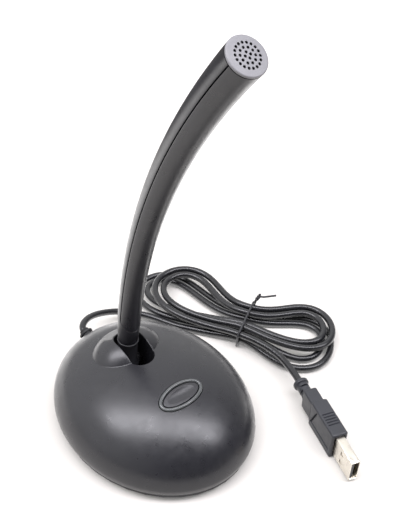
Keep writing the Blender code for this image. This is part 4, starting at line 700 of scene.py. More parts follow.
def rear_shell_mesh(s):
    """The arm's rear half, the collar in front of its foot and the spigot that plugs into the socket."""
    quarter = math.pi / 2
    end = arm_end(s)
    back = edge_turns(-quarter, quarter, s)
    gutter = half_shell(back, np.full(len(back), GAP), end, s, 110, s.seam_start)
    front = edge_turns(quarter, 3 * quarter, s)
    top = front_edge(front, s, 0.0)
    ease = np.sin(np.linspace(0.0, quarter, 7))[1:]
    share = np.concatenate([np.linspace(0.0, 0.9, 20), 0.9 + 0.1 * ease])[:, None]
    both = np.concatenate([front, front[::-1]])
    distance = GAP + (np.concatenate([top, top[::-1]]) - GAP) * share
    left = np.concatenate([top, top[::-1]]) - distance
    inward = np.clip(1 - left / s.seam_edge, 0.0, 1.0)
    outer = np.arange(len(both)) < len(front)
    depth = np.where(outer, s.seam_edge * (1 - np.sqrt(1 - inward ** 2)), s.wall)
    collar = closed_gutter(both, distance, depth, s)
    place = neck_place(s)
    spigot = s.foot_radius - s.wall - GAP
    bore = spigot - 1.3 * MM
    low, high = s.neck - 8.2 * MM, s.neck + 2.3 * MM
    plug = turned_ring([(spigot, low), (spigot, s.neck + GAP), (spigot + s.wall * 0.6, s.neck + GAP),
                        (spigot + s.wall * 0.6, high), (bore, high), (bore, low)], 48, place)
    return joined([gutter, collar, plug])


def front_shell_mesh(s):
    """The arm's front half, from its slanted lower edge to the end cap, a seam's gap inside the flanks."""
    quarter = math.pi / 2
    shy = math.asin(GAP / s.foot_radius)
    turn = edge_turns(quarter + shy, 3 * quarter - shy, s)
    return half_shell(turn, front_edge(turn, s, GAP), arm_end(s), s, 110, 0.0)


def neck_place(s):
    """Frame at the pivot that leans as the arm's foot does; its Z runs up the neck."""
    lean = s.foot_lean
    return tuple(PIVOT), ((1.0, 0.0, 0.0), (0.0, math.cos(lean), math.sin(lean)),
                          (0.0, -math.sin(lean), math.cos(lean)))


def knuckle_mesh(s):
    """Ball, neck and socket as one turned profile, joined to the two trunnions and bored for the lead."""
    stem = s.foot_radius - s.foot_draw
    rim = stem + s.lip
    bore = s.foot_radius - s.wall
    meet = math.acos(stem / s.ball) / DEG
    profile = [*rounded(0.0, 0.0, s.ball, -89.0, meet, 24), (stem, s.neck - 2.0 * MM),
               (stem + 0.1 * s.lip, s.neck - 1.6 * MM), (rim - 0.25 * s.lip, s.neck - 0.9 * MM),
               (rim, s.neck - 0.6 * MM), *rounded(rim - 0.2 * MM, s.neck - 0.2 * MM, 0.2 * MM, 0.0, 90.0, 5),
               (bore, s.neck), (bore, s.neck - 8.5 * MM)]
    hollow = 1.5 * MM
    end = TRUNNION_END
    return carved(
        turned(profile, 96, neck_place(s)),
        ("UNION", turned([(2.7 * MM, -end), (3.0 * MM, 0.3 * MM - end), (3.0 * MM, end - 0.3 * MM),
                          (2.7 * MM, end)], 48, HINGE_PLACE)),
        ("DIFFERENCE", turned([(hollow, -0.4 * hollow), (hollow, s.neck)], 24, neck_place(s))),
        ("DIFFERENCE", turned([(hollow, -end - GAP), (hollow, 0.4 * hollow)], 24, HINGE_PLACE)),
    )


def cap_ceiling(s):
    """Height of the end cap's chamber above the cap's lower edge."""
    return s.cap_rim + s.cap_crown - 1.6 * MM


def end_cap_mesh(s):
    """Crowned cap: a turned profile with a round front edge and a hollow spigot, and rings of holes."""
    (middle,), (rear,), (ahead,) = arm_frames(np.array([s.length - s.cap_rim]), s)
    place = (middle, (np.array((1.0, 0.0, 0.0)), rear, ahead))
    rim, corner = s.tip_radius, s.cap_round
    spigot = (arm_radius(arm_end(s) - 6.5 * MM, s) - s.wall) * math.cos(math.pi / 12) - GAP
    chamber = spigot - 0.7 * MM
    ceiling = cap_ceiling(s)
    flat = rim - corner
    radii = np.linspace(0.02, 1.0, 26)
    face = [(flat * r, s.cap_rim + s.cap_crown * (1 - r ** 2)) for r in radii]
    edge = rounded(flat, s.cap_rim - corner, corner, 90.0, 0.0, 9)[1:]
    lower = rounded(rim - 0.2 * MM, 0.2 * MM, 0.2 * MM, 0.0, -90.0, 4)
    profile = [*face, *edge, *lower, (spigot, 0.0), (spigot, -6.3 * MM), (spigot - 0.2 * MM, -6.5 * MM),
               (chamber, -6.5 * MM), (chamber, ceiling)]
    rings = np.array([(radius * math.cos(turn), radius * math.sin(turn))
                      for radius, count, shift in ((1.12, 4, 0.0), (2.8, 10, 0.5), (4.5, 18, 0.0))
                      for turn in (np.arange(count) + shift) * (2 * math.pi / count)]) * MM
    drills = []
    for x, y in rings:
        top = s.cap_rim + s.cap_crown * (1 - (x * x + y * y) / flat ** 2)
        flare = 0.12 * MM
        drill = [(s.hole, ceiling - GAP), (s.hole, top - flare), (s.hole + 0.3 * flare, top - 0.3 * flare),
                 (s.hole + flare, top + 0.02 * MM), (s.hole + flare, top + 1 * MM)]
        at = put(np.array((x, y, 0.0)), place)
        drills.append(turned(drill, 18, (at, place[1])))
    return carved(turned(profile, 128, place), ("DIFFERENCE", joined(drills)))


# The button

def button_mesh(dome, b):
    """Oval button: rings of ellipses from the middle of its dish over its edge, down its side and flange.

    The face follows the dome and sinks by the dish's depth times one minus the squared share of its radius,
    eased at the rim. Each ring is (half length, half width, height, how far it follows the dome).
    """
    place = button_place(dome, b)
    half_x, half_y = [half - b.bead - b.clearance for half in (b.bead_length, b.bead_width)]
    share = np.linspace(0.02, 1.0, 44)
    rim = 0.80
    fall = np.clip(1 - (share / rim) ** 2, 0.0, 1.0)
    soft = 0.5 * (fall + np.sqrt(fall ** 2 + 0.004)) - 0.5 * math.sqrt(0.004)
    inset = b.edge
    rings = [((half_x - inset) * r, (half_y - inset) * r, b.proud - b.dish * f, 1.0)
             for r, f in zip(share, soft)]
    for a in np.linspace(90.0, 0.0, 7)[1:] * DEG:
        rings.append((half_x - inset + inset * math.cos(a), half_y - inset + inset * math.cos(a),
                      b.proud - inset + inset * math.sin(a), 1.0))
    low = -b.flange
    out_x, out_y = half_x + b.clearance + 0.8 * MM, half_y + b.clearance + 0.8 * MM
    rings += [(half_x, half_y, low, 0.0), (out_x, out_y, low, 0.0), (out_x, out_y, low - 1.0 * MM, 0.0),
              (2.0 * MM, 2.0 * MM, low - 1.0 * MM, 0.0), (2.0 * MM, 2.0 * MM, low - 2.6 * MM, 0.0)]
    rings = np.array(rings)
    turn = circle(120)
    x, y = rings[:, :1] * turn[:, 0], rings[:, 1:2] * turn[:, 1]
    z = rings[:, 2:3] + rings[:, 3:] * on_dome(x, y, place, dome)
    rows = put(np.stack([x, y, z], -1), place)
    middle = put(np.array((0.0, 0.0, b.proud - b.dish)), place)
    return skin(rows, start=middle, end=put(np.array((0.0, 0.0, low - 2.6 * MM)), place))


# The cable

def hank_loop(phase, climb):
    """Innermost loop in u and w: an oval with a waist, bent along a parabola on either side of the tie.

    u is the reach times the cosine and w the sway times its square; the loop's half width, the waist plus the
    lobe times the squared cosine, all times the sine, is laid off square to the parabola.
    """
    swing = np.cos(phase)
    pairs = np.where(swing[..., None, None] < 0, LEFT_LOOP, RIGHT_LOOP)
    reach, lobe, sway = np.moveaxis(pairs[..., 0] + (pairs[..., 1] - pairs[..., 0]) * climb[..., None], -1, 0)
    half = (WAIST_HALF + lobe * swing ** 2) * np.sin(phase)
    lean = np.arctan(2 * sway * swing / reach)
    return np.stack([reach * swing - half * np.sin(lean), sway * swing ** 2 + half * np.cos(lean)], -1)


def hank_to_world(points):
    """Points given in the hank's u, w and z."""
    points = np.asarray(points, float)
    base = np.array((*HANK_PLACE, 0.0))
    return base + points[..., :1] * HANK_ALONG + points[..., 1:2] * HANK_ACROSS + points[..., 2:] * (0, 0, 1)


def hank_line(turns):
    """The hank's middle line after numbers of turns: it spirals in, climbs a layer and spirals out."""
    phase = HANK_START + 2 * math.pi * turns
    past = turns - HANK_TURNS / 2
    share = np.clip(past / 0.5 + 0.5, 0.0, 1.0)
    climb = share * share * (3 - 2 * share)
    outward = HANK_PITCH * (np.hypot(past, 0.1) - 0.1)
    for middle, width, swell in LOOSE_LOOPS:
        outward = outward + swell * MM * np.maximum(1 - ((turns - middle) / width) ** 2, 0.0) ** 2
    step = 0.01
    along = unit(hank_loop(phase + step, climb) - hank_loop(phase - step, climb))
    place = hank_loop(phase, climb) + np.stack([along[:, 1], -along[:, 0]], -1) * outward[:, None]
    lift = 2.0 * MM * climb * np.maximum(-np.cos(phase), 0.0) ** 2
    rise = 1.5 * MM * np.exp(-(place[:, 0] / (10.0 * MM)) ** 2)
    low, layer = 2.2 * MM, 4.4 * MM
    return hank_to_world(np.column_stack([place, low + layer * climb + lift + rise]))


def plug_place(p):
    """Frame of the plug: X along it, Z up, at the front of its moulding."""
    c, s = math.cos(p.heading), math.sin(p.heading)
    return (p.x, p.y, p.height / 2), ((c, s, 0.0), (-s, c, 0.0), (0.0, 0.0, 1.0))


def cable_path(dome, c, p):
    """The whole cable's middle line from inside the sleeve through the hank into the plug, evenly spaced."""
    diameter = 2 * c.radius
    hank = hank_line(np.linspace(0.0, HANK_TURNS, 400))
    into, out = unit(hank[1] - hank[0]), unit(hank[-1] - hank[-2])
    first, last = hank[0] - into * diameter, hank[-1] + out * diameter
    exit_point, axes = relief_place(dome)
    ahead = np.array(axes[2])
    start = exit_point + ahead * (c.sleeve + GAP)
    lead = smooth_route([start, start + ahead * 1.5 * MM, *(np.array(LEAD_ROUTE) * MM), first - into * 5 * MM,
                         first - into * GAP], 80)
    origin, plug_axes = plug_place(p)
    heading = np.array(plug_axes[0])
    end = origin - heading * (p.length + p.neck + p.relief + GAP)
    tail = smooth_route([last + out * GAP, last + out * 3 * MM, *hank_to_world(np.array(TAIL_ROUTE) * MM),
                         end - heading * 4 * MM, end], 60)
    whole = np.vstack([start - ahead * 1.0 * MM, lead, first, hank, last, tail, end + heading * 1.0 * MM])
    along = lengths_along(whole)
    even = np.linspace(0.0, along[-1], 1000)
    path = np.stack([np.interp(even, along, whole[:, axis]) for axis in range(3)], -1)
    eased = path.copy()
    for _ in range(6):
        eased[2:-2] = (eased[1:-3] + 2 * eased[2:-2] + eased[3:-1]) / 4
    return eased


def cable_mesh(path, c):
    """The cable as a tube, with lengths along it and round it kept as a UV map in metres."""
    sides = 20
    mesh = tube(path, c.radius, sides)
    along = lengths_along(path)
    index = np.empty(len(mesh.loops), int)
    mesh.loops.foreach_get("vertex_index", index)
    row, column = np.minimum(index // sides, len(path) - 1), index % sides
    uv = mesh.uv_layers.new(name="along")
    width = 2 * math.pi * c.radius / sides
    uv.data.foreach_set("uv", np.column_stack([along[row], column * width]).ravel())
    return mesh


def waist_bounds():
    """Lowest and highest w and z of the hank's middle line where the tie goes round it."""
    line = hank_line(np.linspace(0.0, HANK_TURNS, 900)) - hank_to_world((0.0, 0.0, 0.0))
    near = line[np.abs(line @ HANK_ALONG - TIE_PLACE * MM) < 3.3 * MM]
    across = near @ HANK_ACROSS
    return across.min(), across.max(), near[:, 2].min(), near[:, 2].max()


def tie_strands(c):
    """Middle lines of the wire tie: a ring about the waist with its ends twisted, then a tail.

    The ring has round corners and slants along the hank. Each end goes round the knot's line as a helix of
    one and a half turns, half a turn apart; one ends there and the other runs on as the tail.
    """
    clear = c.radius + c.tie + 0.1 * MM
    near, far, low, high = np.array(waist_bounds()) + np.array((-clear, clear, -clear, clear))
    corner = 2.6 * MM
    ring = []
    for w, z, end in ((far, high, 90), (near, high, 180), (near, low, 270), (far, low, 360)):
        middle_w = w - math.copysign(corner, w - (near + far) / 2)
        middle_z = z - math.copysign(corner, z - (low + high) / 2)
        ring.append(np.array(rounded(middle_w, middle_z, corner, end - 90, end, 6)))
    ring = np.vstack(ring)
    slant = TIE_PLACE * MM + 3 * c.tie * (0.5 - np.arange(len(ring)) / (len(ring) - 1))
    ring = hank_to_world(np.column_stack([slant, ring]))
    foot, head = hank_to_world(np.array(TIE_KNOT) * MM)
    line = unit(head - foot)
    side = unit(np.cross(line, HANK_ALONG))
    share = np.linspace(0.0, 1.0, 13)[:, None]
    twists = []
    for phase in (0.0, math.pi):
        turn = phase + share * 3 * math.pi
        spread = 1.02 * c.tie * (np.cos(turn) * side + np.sin(turn) * np.cross(line, side))
        twists.append(foot + (head - foot) * share + spread)
    first = np.vstack([twists[0][::-1], ring])
    tail = hank_to_world(np.array(TIE_TAIL) * MM)
    between = (ring[-1:] + twists[1][:1]) / 2 + HANK_ACROSS * 0.4 * MM
    second = np.vstack([ring[-1:], between, twists[1][:8], tail])
    return smooth_route(first, 220), smooth_route(second, 110)


# The plug

def rounded_rectangle(half_y, half_z, radius, fine=6, along_y=22, along_z=40):
    """Columns of points round a rectangle with round corners, the same count on each side for all rows.

    Each corner is a quarter circle about a middle one radius in from both sides; straight runs join them.
    """
    sizes = np.broadcast_arrays(half_y, half_z, radius)
    half_y, half_z, radius = [np.asarray(size, float)[..., None] for size in sizes]
    arc = np.linspace(0.0, math.pi / 2, fine)
    corners = []
    for index, (sy, sz) in enumerate(((1, 1), (-1, 1), (-1, -1), (1, -1))):
        a = arc + index * math.pi / 2
        corners.append(np.stack([sy * (half_y - radius) + radius * np.cos(a),
                                 sz * (half_z - radius) + radius * np.sin(a)], -1))
    parts = []
    for index in range(4):
        here, after = corners[index], corners[(index + 1) % 4]
        run = np.linspace(0.0, 1.0, along_y if index % 2 == 0 else along_z)[1:-1, None]
        parts += [here, here[..., -1:, :] * (1 - run) + after[..., :1, :] * run]
    return np.concatenate(parts, -2)


def smooth_step(x):
    """Ease from 0 to 1: three squares less two cubes."""
    x = np.clip(x, 0.0, 1.0)
    return x * x * (3 - 2 * x)


def groove_depth(distance, width, depth):
    """Depth of a round-shouldered groove at a distance from its middle line."""
    return depth * smooth_step((width / 2 + 0.12 * MM - np.abs(distance)) / (0.24 * MM))


def overmold_mesh(p):
    """Plug's moulding: rows of round-cornered rectangles from the pocket's floor out over the grip and neck
    to the ring on the cable, with grooves pressed into its faces.

    Each row is (x, half width, half height, corner radius). Steps between grip, neck and sleeve are quarter
    circles of the rounding's radius.
    """
    hy, hz, r = p.width / 2, p.height / 2, p.rounding
    can_y, can_z = p.can_width / 2 + GAP, p.can_height / 2 + GAP
    arc = np.linspace(0.0, 90.0, 6) * DEG
    rows = [(-6.3 * MM, can_y, can_z, 0.5 * MM), (-0.25 * MM, can_y, can_z, 0.5 * MM),
            (0.0, can_y + 0.25 * MM, can_z + 0.25 * MM, 0.6 * MM)]
    for a in arc:
        rows.append((-r + r * math.cos(a), hy - r + r * math.sin(a), hz - r + r * math.sin(a), r))
    rear = -p.length
    for x in np.arange(-r - 0.2 * MM, rear + r, -0.2 * MM):
        rows.append((x, hy, hz, r))
    for a in arc:
        rows.append((rear + r - r * math.sin(a), hy - r + r * math.cos(a), hz - r + r * math.cos(a), r))
    ny, nz = 3.4 * MM, 5.8 * MM
    rows.append((rear, ny + 0.3 * MM, nz + 0.3 * MM, r))
    rows.append((rear - 0.3 * MM, ny, nz, r))
    neck_end = rear - p.neck
    for x in np.linspace(rear - 0.6 * MM, neck_end + r, 24):
        rows.append((x, ny, nz, r))
    for a in arc:
        rows.append((neck_end + r - r * math.sin(a), ny - r + r * math.cos(a), nz - r + r * math.cos(a), r))
    end = neck_end - p.relief
    sleeve, ring, ring_length, corner = 3.0 * MM, 3.8 * MM, 2.0 * MM, 0.5 * MM
    round_off = 0.985
    rows.append((neck_end, sleeve + 0.2 * MM, sleeve + 0.2 * MM, round_off * sleeve))
    rows.append((neck_end - 0.2 * MM, sleeve, sleeve, round_off * sleeve))
    slots = []
    room = p.relief - ring_length
    for index in (1, 0):
        x = end + ring_length + room * (index + 1) / 3
        slots.append((x, index))
        for step in (0.62, 0.5, 0.48, 0.3, 0.0, -0.3, -0.48, -0.5, -0.62):
            rows.append((x + step * MM, sleeve, sleeve, round_off * sleeve))
    rows.append((end + 2.2 * MM, sleeve, sleeve, round_off * sleeve))
    rows.append((end + ring_length, sleeve + 0.2 * MM, sleeve + 0.2 * MM, round_off * sleeve))
    for a in arc:
        half = ring - corner * (1 - math.sin(a))
        rows.append((end + ring_length - corner * (1 - math.cos(a)), half, half, round_off * half))
    for a in arc:
        half = ring - corner * (1 - math.cos(a))
        rows.append((end + corner * (1 - math.sin(a)), half, half, round_off * half))
    rows = np.array(rows)
    flat = rounded_rectangle(rows[:, 1], rows[:, 2], rows[:, 3])
    x = np.broadcast_to(rows[:, :1], flat.shape[:2])
    y, z = flat[..., 0], flat[..., 1]
    grip = (x < 0) & (x > rear + 0.5 * r)
    narrow = grip & (np.abs(z) > hz - 0.5 * MM) & (np.arange(len(rows)) > 2)[:, None]
    wide = grip & (np.abs(y) > hy - 0.5 * MM) & (np.arange(len(rows)) > 2)[:, None]
    inside = smooth_step((hy - r - np.abs(y)) / (0.3 * MM))
    press = sum(groove_depth(x + 6.5 * MM + i * 1.6 * MM, 0.6 * MM, 0.5 * MM) for i in range(5)) * inside
    z = np.where(narrow, z - np.sign(z) * press, z)
    line = np.where((x > -20.0 * MM) & (x < -2.0 * MM), np.abs(z + 3.7 * MM), 1.0)
    foot, head = np.array((-19.7, -3.7)) * MM, np.array((-16.0, 5.4)) * MM
    way = head - foot
    run = np.clip(((x - foot[0]) * way[0] + (z - foot[1]) * way[1]) / (way ** 2).sum(), 0, 1)
    slant = np.hypot(x - foot[0] - run * way[0], z - foot[1] - run * way[1])
    press = groove_depth(np.minimum(line, slant), 0.85 * MM, 0.9 * MM)
    y = np.where(wide, y - np.sign(y) * press, y)
    for at, across in slots:
        cut = np.abs(x - at) < 0.49 * MM
        limit = sleeve - 1.1 * MM
        if across == 0:
            z = np.where(cut, np.clip(z, -limit, limit), z)
        else:
            y = np.where(cut, np.clip(y, -limit, limit), y)
    place = plug_place(p)
    return skin(put(np.stack([x, y, z], -1), place), start="face", end=put(np.array((end, 0.0, 0.0)), place))


def can_mesh(p):
    """Plug's metal can: rounded rectangles out along the sheet, over its lip and back inside, pierced."""
    hy, hz, wall = p.can_width / 2, p.can_height / 2, p.can_wall
    tip, lip = p.can_length, 0.12 * MM
    back = -6.0 * MM
    rows = np.array([
        (back, hy - 0.3 * MM, hz - 0.3 * MM, 0.35 * MM),
        (back + 0.1 * MM, hy - 0.08 * MM, hz - 0.08 * MM, 0.5 * MM),
        (back + 0.3 * MM, hy, hz, 0.6 * MM),
        (tip - lip, hy, hz, 0.6 * MM),
        (tip - 0.3 * lip, hy - 0.3 * lip, hz - 0.3 * lip, 0.57 * MM),
        (tip, hy - lip, hz - lip, 0.5 * MM),
        (tip, hy - wall + lip, hz - wall + lip, 0.35 * MM),
        (tip - 0.3 * lip, hy - wall + 0.3 * lip, hz - wall + 0.3 * lip, 0.3 * MM),
        (tip - lip, hy - wall, hz - wall, 0.25 * MM),
        (back + wall, hy - wall, hz - wall, 0.25 * MM),
    ])
    flat = rounded_rectangle(rows[:, 1], rows[:, 2], rows[:, 3], 6, 6, 10)
    x = np.broadcast_to(rows[:, :1], flat.shape[:2])
    place = plug_place(p)
    can = skin(put(np.concatenate([x[..., None], flat], -1), place), start="face", end="face")
    front, side = tip - 7.0 * MM, 1.15 * MM
    row, sunk, sheet = 2.7 * MM, 0.42 * MM, 0.12 * MM
    windows = [("DIFFERENCE", box_mesh((front - 2 * side, -p.can_width, z - side),
                                       (front, p.can_width, z + side), place)) for z in (-row, row)]
    tab = side - 0.22 * MM
    tabs = [box_mesh((front - side - tab, y - sheet, z - tab),
                     (front - side + tab, y + sheet, z + tab), place)
            for y in (sunk - hy, hy - sunk) for z in (-row, row)]
    return joined([carved(can, *windows), *tabs])


# Finishes

class Wiring:
    """Short ways to add nodes to a node tree."""

    def __init__(self, tree):
        self.nodes, self.links = tree.nodes, tree.links

    def between(self, value, low, high, low_from=0.3, high_from=0.7):
        """A value spread from one span of numbers onto another, held at its ends."""
        node = self.nodes.new("ShaderNodeMapRange")
        spans = {"From Min": low_from, "From Max": high_from, "To Min": low, "To Max": high}
        for key, end in spans.items():
            node.inputs[key].default_value = end
        self.links.new(value, node.inputs["Value"])
        return node.outputs["Result"]

    def operate(self, kind, operation, *values):
        """Output of a node that works on sockets or numbers."""
        node = self.nodes.new(kind)
        node.operation = operation
        for socket, value in zip(node.inputs, values):
            if isinstance(value, bpy.types.NodeSocket):
                self.links.new(value, socket)
            else:
                socket.default_value = value
        return node.outputs["Value"]


class Recipe(Wiring):
    """Nodes of one finish, linked to a Principled shader and read at Object coordinates."""

    def __init__(self, name):
        self.material = bpy.data.materials.new(name)
        self.material.use_nodes = True
        super().__init__(self.material.node_tree)
        self.shader = self.nodes["Principled BSDF"]
        self.place = self.nodes.new("ShaderNodeTexCoord").outputs["Object"]

    def noise(self, scale, detail=2.0, stretch=None, place=None):
        """Noise with so many spots to the metre; stretch scales it along the three axes."""
        node = self.nodes.new("ShaderNodeTexNoise")
        node.inputs["Scale"].default_value = scale
        node.inputs["Detail"].default_value = detail
        place = self.place if place is None else place
        if stretch is not None:
            mapping = self.nodes.new("ShaderNodeMapping")
            mapping.inputs["Scale"].default_value = stretch
            self.links.new(place, mapping.inputs["Vector"])
            place = mapping.outputs["Vector"]
        self.links.new(place, node.inputs["Vector"])
        return node.outputs["Fac"]

    def blend(self, value, first, second, low=0.35, high=0.65):
        """Colour that goes from one to another as a value rises."""
        ramp = self.nodes.new("ShaderNodeValToRGB")
        ramp.color_ramp.elements[0].position, ramp.color_ramp.elements[1].position = low, high
        ramp.color_ramp.elements[0].color = (*first, 1.0)
        ramp.color_ramp.elements[1].color = (*second, 1.0)
        self.links.new(value, ramp.inputs["Fac"])
        return ramp.outputs["Color"]

    def bump(self, value, height, under=None):
        """Relief of a height in metres from a value, on top of another relief."""
        node = self.nodes.new("ShaderNodeBump")
        node.inputs["Distance"].default_value = height
        self.links.new(value, node.inputs["Height"])
        if under is not None:
            self.links.new(under, node.inputs["Normal"])
        return node.outputs["Normal"]

    def set(self, socket, value):
        self.shader.inputs[socket].default_value = value

    def feed(self, socket, output):
        self.links.new(output, self.shader.inputs[socket])


def shade(colour, factor):
    return tuple(min(channel * factor, 1.0) for channel in colour)


def moulded(name, colour, rough, grain=2600.0, depth=0.02, drift=0.12, spread=0.05):
    """Moulded plastic: a slow drift of colour, patches of roughness, and a fine etched grain as relief."""
    r = Recipe(name)
    slow = r.noise(55.0, 4.0)
    r.feed("Base Color", r.blend(slow, shade(colour, 1 - drift), shade(colour, 1 + drift)))
    r.feed("Roughness", r.between(r.noise(240.0, 5.0), rough - spread, rough + spread))
    coarse = r.bump(r.noise(grain * 0.4, 3.0), depth * 0.5 * MM)
    r.feed("Normal", r.bump(r.noise(grain, 2.0), depth * MM, under=coarse))
    return r.material


def metal(name, colour, rough, stretch, lines=0.003, drift=0.06):
    """Plated or drawn metal: faint lines along the draw as relief and roughness, and a slow tarnish."""
    r = Recipe(name)
    r.feed("Base Color", r.blend(r.noise(160.0, 4.0), shade(colour, 1 - drift), shade(colour, 1 + drift)))
    fine = r.noise(900.0, 3.0, stretch)
    r.feed("Roughness", r.between(fine, rough - 0.06, rough + 0.08))
    r.feed("Normal", r.bump(fine, lines * MM))
    r.set("Metallic", 1.0)
    return r.material


def jacket(name, colour, rough, along=None):
    """Cable jacket: drawn sheath with faint lengthwise streaks, a slow waviness and dull patches."""
    r = Recipe(name)
    if along is not None:
        uv = r.nodes.new("ShaderNodeUVMap")
        uv.uv_map = along
        place = uv.outputs["UV"]
    else:
        place = r.place
    r.feed("Base Color", r.blend(r.noise(90.0, 4.0), shade(colour, 0.85), shade(colour, 1.25)))
    r.feed("Roughness", r.between(r.noise(300.0, 4.0), rough - 0.07, rough + 0.08))
    streaks = r.bump(r.noise(1400.0, 2.0, (0.05, 1.0, 1.0), place), 0.003 * MM)
    r.feed("Normal", r.bump(r.noise(260.0, 2.0), 0.012 * MM, under=streaks))
    return r.material


def make_finishes(f):
    """All finishes by the name of the record's material slot."""
    return {
        "satin_black": moulded("satin_black_grain", f.satin_black, 0.31, 1500.0, 0.016, 0.08),
        "black_plastic": moulded("black_plastic_plain", f.black_plastic, 0.44, 3200.0, 0.010),
        # The bead's lifted grey is partly painted highlight on a black bead.
        "gloss_black": moulded("gloss_black_bead_painted_sheen", f.gloss_black, 0.19, 3000.0, 0.006, 0.06, 0.04),
        "light_grey": moulded("light_grey_grain", f.light_grey, 0.5, 3000.0, 0.03, 0.05),
        "black_rubber": moulded("black_rubber_matt", f.black_rubber, 0.72, 1800.0, 0.03, 0.15, 0.08),
        "cable_jacket": jacket("cable_jacket_drawn", f.cable_jacket, 0.27),
        "plug_plastic": moulded("plug_plastic_grain", f.plug_plastic, 0.5, 2200.0, 0.035, 0.1),
        "steel": metal("steel_plated", f.steel, 0.34, (1.0, 1.0, 0.1)),
        "nickel": metal("nickel_bright", f.nickel, 0.30, (0.4, 0.15, 1.0), 0.0008),
        "gold": metal("gold_flash", f.gold, 0.28, (0.5, 0.2, 1.0)),
        "aluminium_can": metal("aluminium_drawn", f.aluminium, 0.36, (1.0, 1.0, 0.1)),
        "board": moulded("board_green_mask", f.board, 0.42, 900.0, 0.01, 0.2),
        "nylon": moulded("nylon_natural", f.nylon, 0.5, 1500.0, 0.015, 0.05),
    }


FINISH = {}


# Operators

class DESKMIC_OT_finishes(bpy.types.Operator):
    """Makes every finish and lays it on the frame's own pieces"""
    bl_idname = "deskmic.finishes"
    bl_label = "Finishes and inner pieces"

    def execute(self, context):
        FINISH.update(make_finishes(context.scene.deskmic_finishes))
        slots = {row["node"]: row["material_slot"] for row in frame["record"]["subparts"]}
        for name, node in frame["nodes"].items():
            node.data.materials.clear()
            node.data.materials.append(FINISH["black_plastic" if "bush" in name else slots[name]])
        return {"FINISHED"}


class DESKMIC_OT_cable(bpy.types.Operator):
    """Lays the cable from the sleeve through the tied hank to the plug"""
    bl_idname = "deskmic.cable"
    bl_label = "Cable"

    def execute(self, context):
        scene = context.scene
        c = scene.deskmic_cable
        path = cable_path(scene.deskmic_dome, c, scene.deskmic_plug)
        drawn = jacket("cable_jacket_long", scene.deskmic_finishes.cable_jacket, 0.27, "along")
        cable = add_piece("cable", cable_mesh(path, c), drawn, "cable_jacket", "base",
                          "cable_lead", "cable_hank", "cable_tail")
        return {"FINISHED"}


class DESKMIC_OT_sleeve(bpy.types.Operator):
    """Turns the flanged sleeve where the cable leaves the dome"""
    bl_idname = "deskmic.sleeve"
    bl_label = "Cable sleeve"

    def execute(self, context):
        scene = context.scene
        c = scene.deskmic_cable
        neck, flange, end = 2.7 * MM, 3.5 * MM, c.radius + 0.5 * MM
        near, top = 0.9 * MM, 2.0 * MM
        ribs, depth = [], 0.09 * MM
        for share in np.linspace(0.0, 1.0, 25):
            wave = depth * math.cos(share * 6 * math.pi)
            ribs.append((neck + (end - neck) * share + wave - depth,
                         top + 0.15 * MM + (c.sleeve - top - 0.4 * MM) * share))
        profile = [(flange, -SLEEVE_INSIDE), (flange, -3.5 * MM), (neck, -3.5 * MM), (neck, near),
                   *rounded(flange - 0.3 * MM, near + 0.3 * MM, 0.3 * MM, -90, 0, 5),
                   *rounded(flange - 0.35 * MM, top - 0.35 * MM, 0.35 * MM, 0, 90, 5), *ribs,
                   *rounded(end - 0.25 * MM, c.sleeve - 0.25 * MM, 0.25 * MM, 0, 90, 5)]
        mesh = turned(profile, 64, relief_place(scene.deskmic_dome))
        add_piece("cable_sleeve", mesh, FINISH["black_rubber"], "black_rubber", "base", "strain_relief")
        return {"FINISHED"}


class DESKMIC_OT_tie(bpy.types.Operator):
    """Twists the wire tie round the hank's waist"""
    bl_idname = "deskmic.tie"
    bl_label = "Wire tie"

    def execute(self, context):
        c = context.scene.deskmic_cable
        meshes = [tube(strand, c.tie, 12, HANK_ALONG) for strand in tie_strands(c)]
        add_piece("wire_tie", joined(meshes), FINISH["black_plastic"], "black_plastic", "base", "cable_tie")
        return {"FINISHED"}


class DESKMIC_OT_base(bpy.types.Operator):
    """Carves the dome with its hump, slot and button hole"""
    bl_idname = "deskmic.base"
    bl_label = "Base shell"

    def execute(self, context):
        scene = context.scene
        mesh = base_shell_mesh(scene.deskmic_dome, scene.deskmic_button)
        add_piece("dome_shell", mesh, FINISH["satin_black"], "satin_black", "base", "base_shell", crisp=40.0)
        return {"FINISHED"}


class DESKMIC_OT_button(bpy.types.Operator):
    """Forms the dished button and the bead round it"""
    bl_idname = "deskmic.button"
    bl_label = "Button"

    def execute(self, context):
        dome, b = context.scene.deskmic_dome, context.scene.deskmic_button
        bead = skin(along_path(bead_path(dome, b), b.bead, 24, (0.0, 0.0, 1.0), loop=True), loop=True)
        add_piece("button_bead", bead, FINISH["gloss_black"], "gloss_black", "base", "button_bezel")
        add_piece("push_button", button_mesh(dome, b), FINISH["black_plastic"], "black_plastic", "button",
                  "button_cap")
        return {"FINISHED"}


class DESKMIC_OT_arm(bpy.types.Operator):
    """Sweeps the arm's two half shells and turns the knuckle below them"""
    bl_idname = "deskmic.arm"
    bl_label = "Arm"

    def execute(self, context):
        s = context.scene.deskmic_arm
        satin = FINISH["satin_black"]
        add_piece("arm_rear", rear_shell_mesh(s), satin, "satin_black", "arm", "arm_rear_shell")
        add_piece("arm_front", front_shell_mesh(s), satin, "satin_black", "arm", "arm_front_shell")
        add_piece("arm_knuckle", knuckle_mesh(s), FINISH["black_plastic"], "black_plastic", "arm", "knuckle")
        return {"FINISHED"}


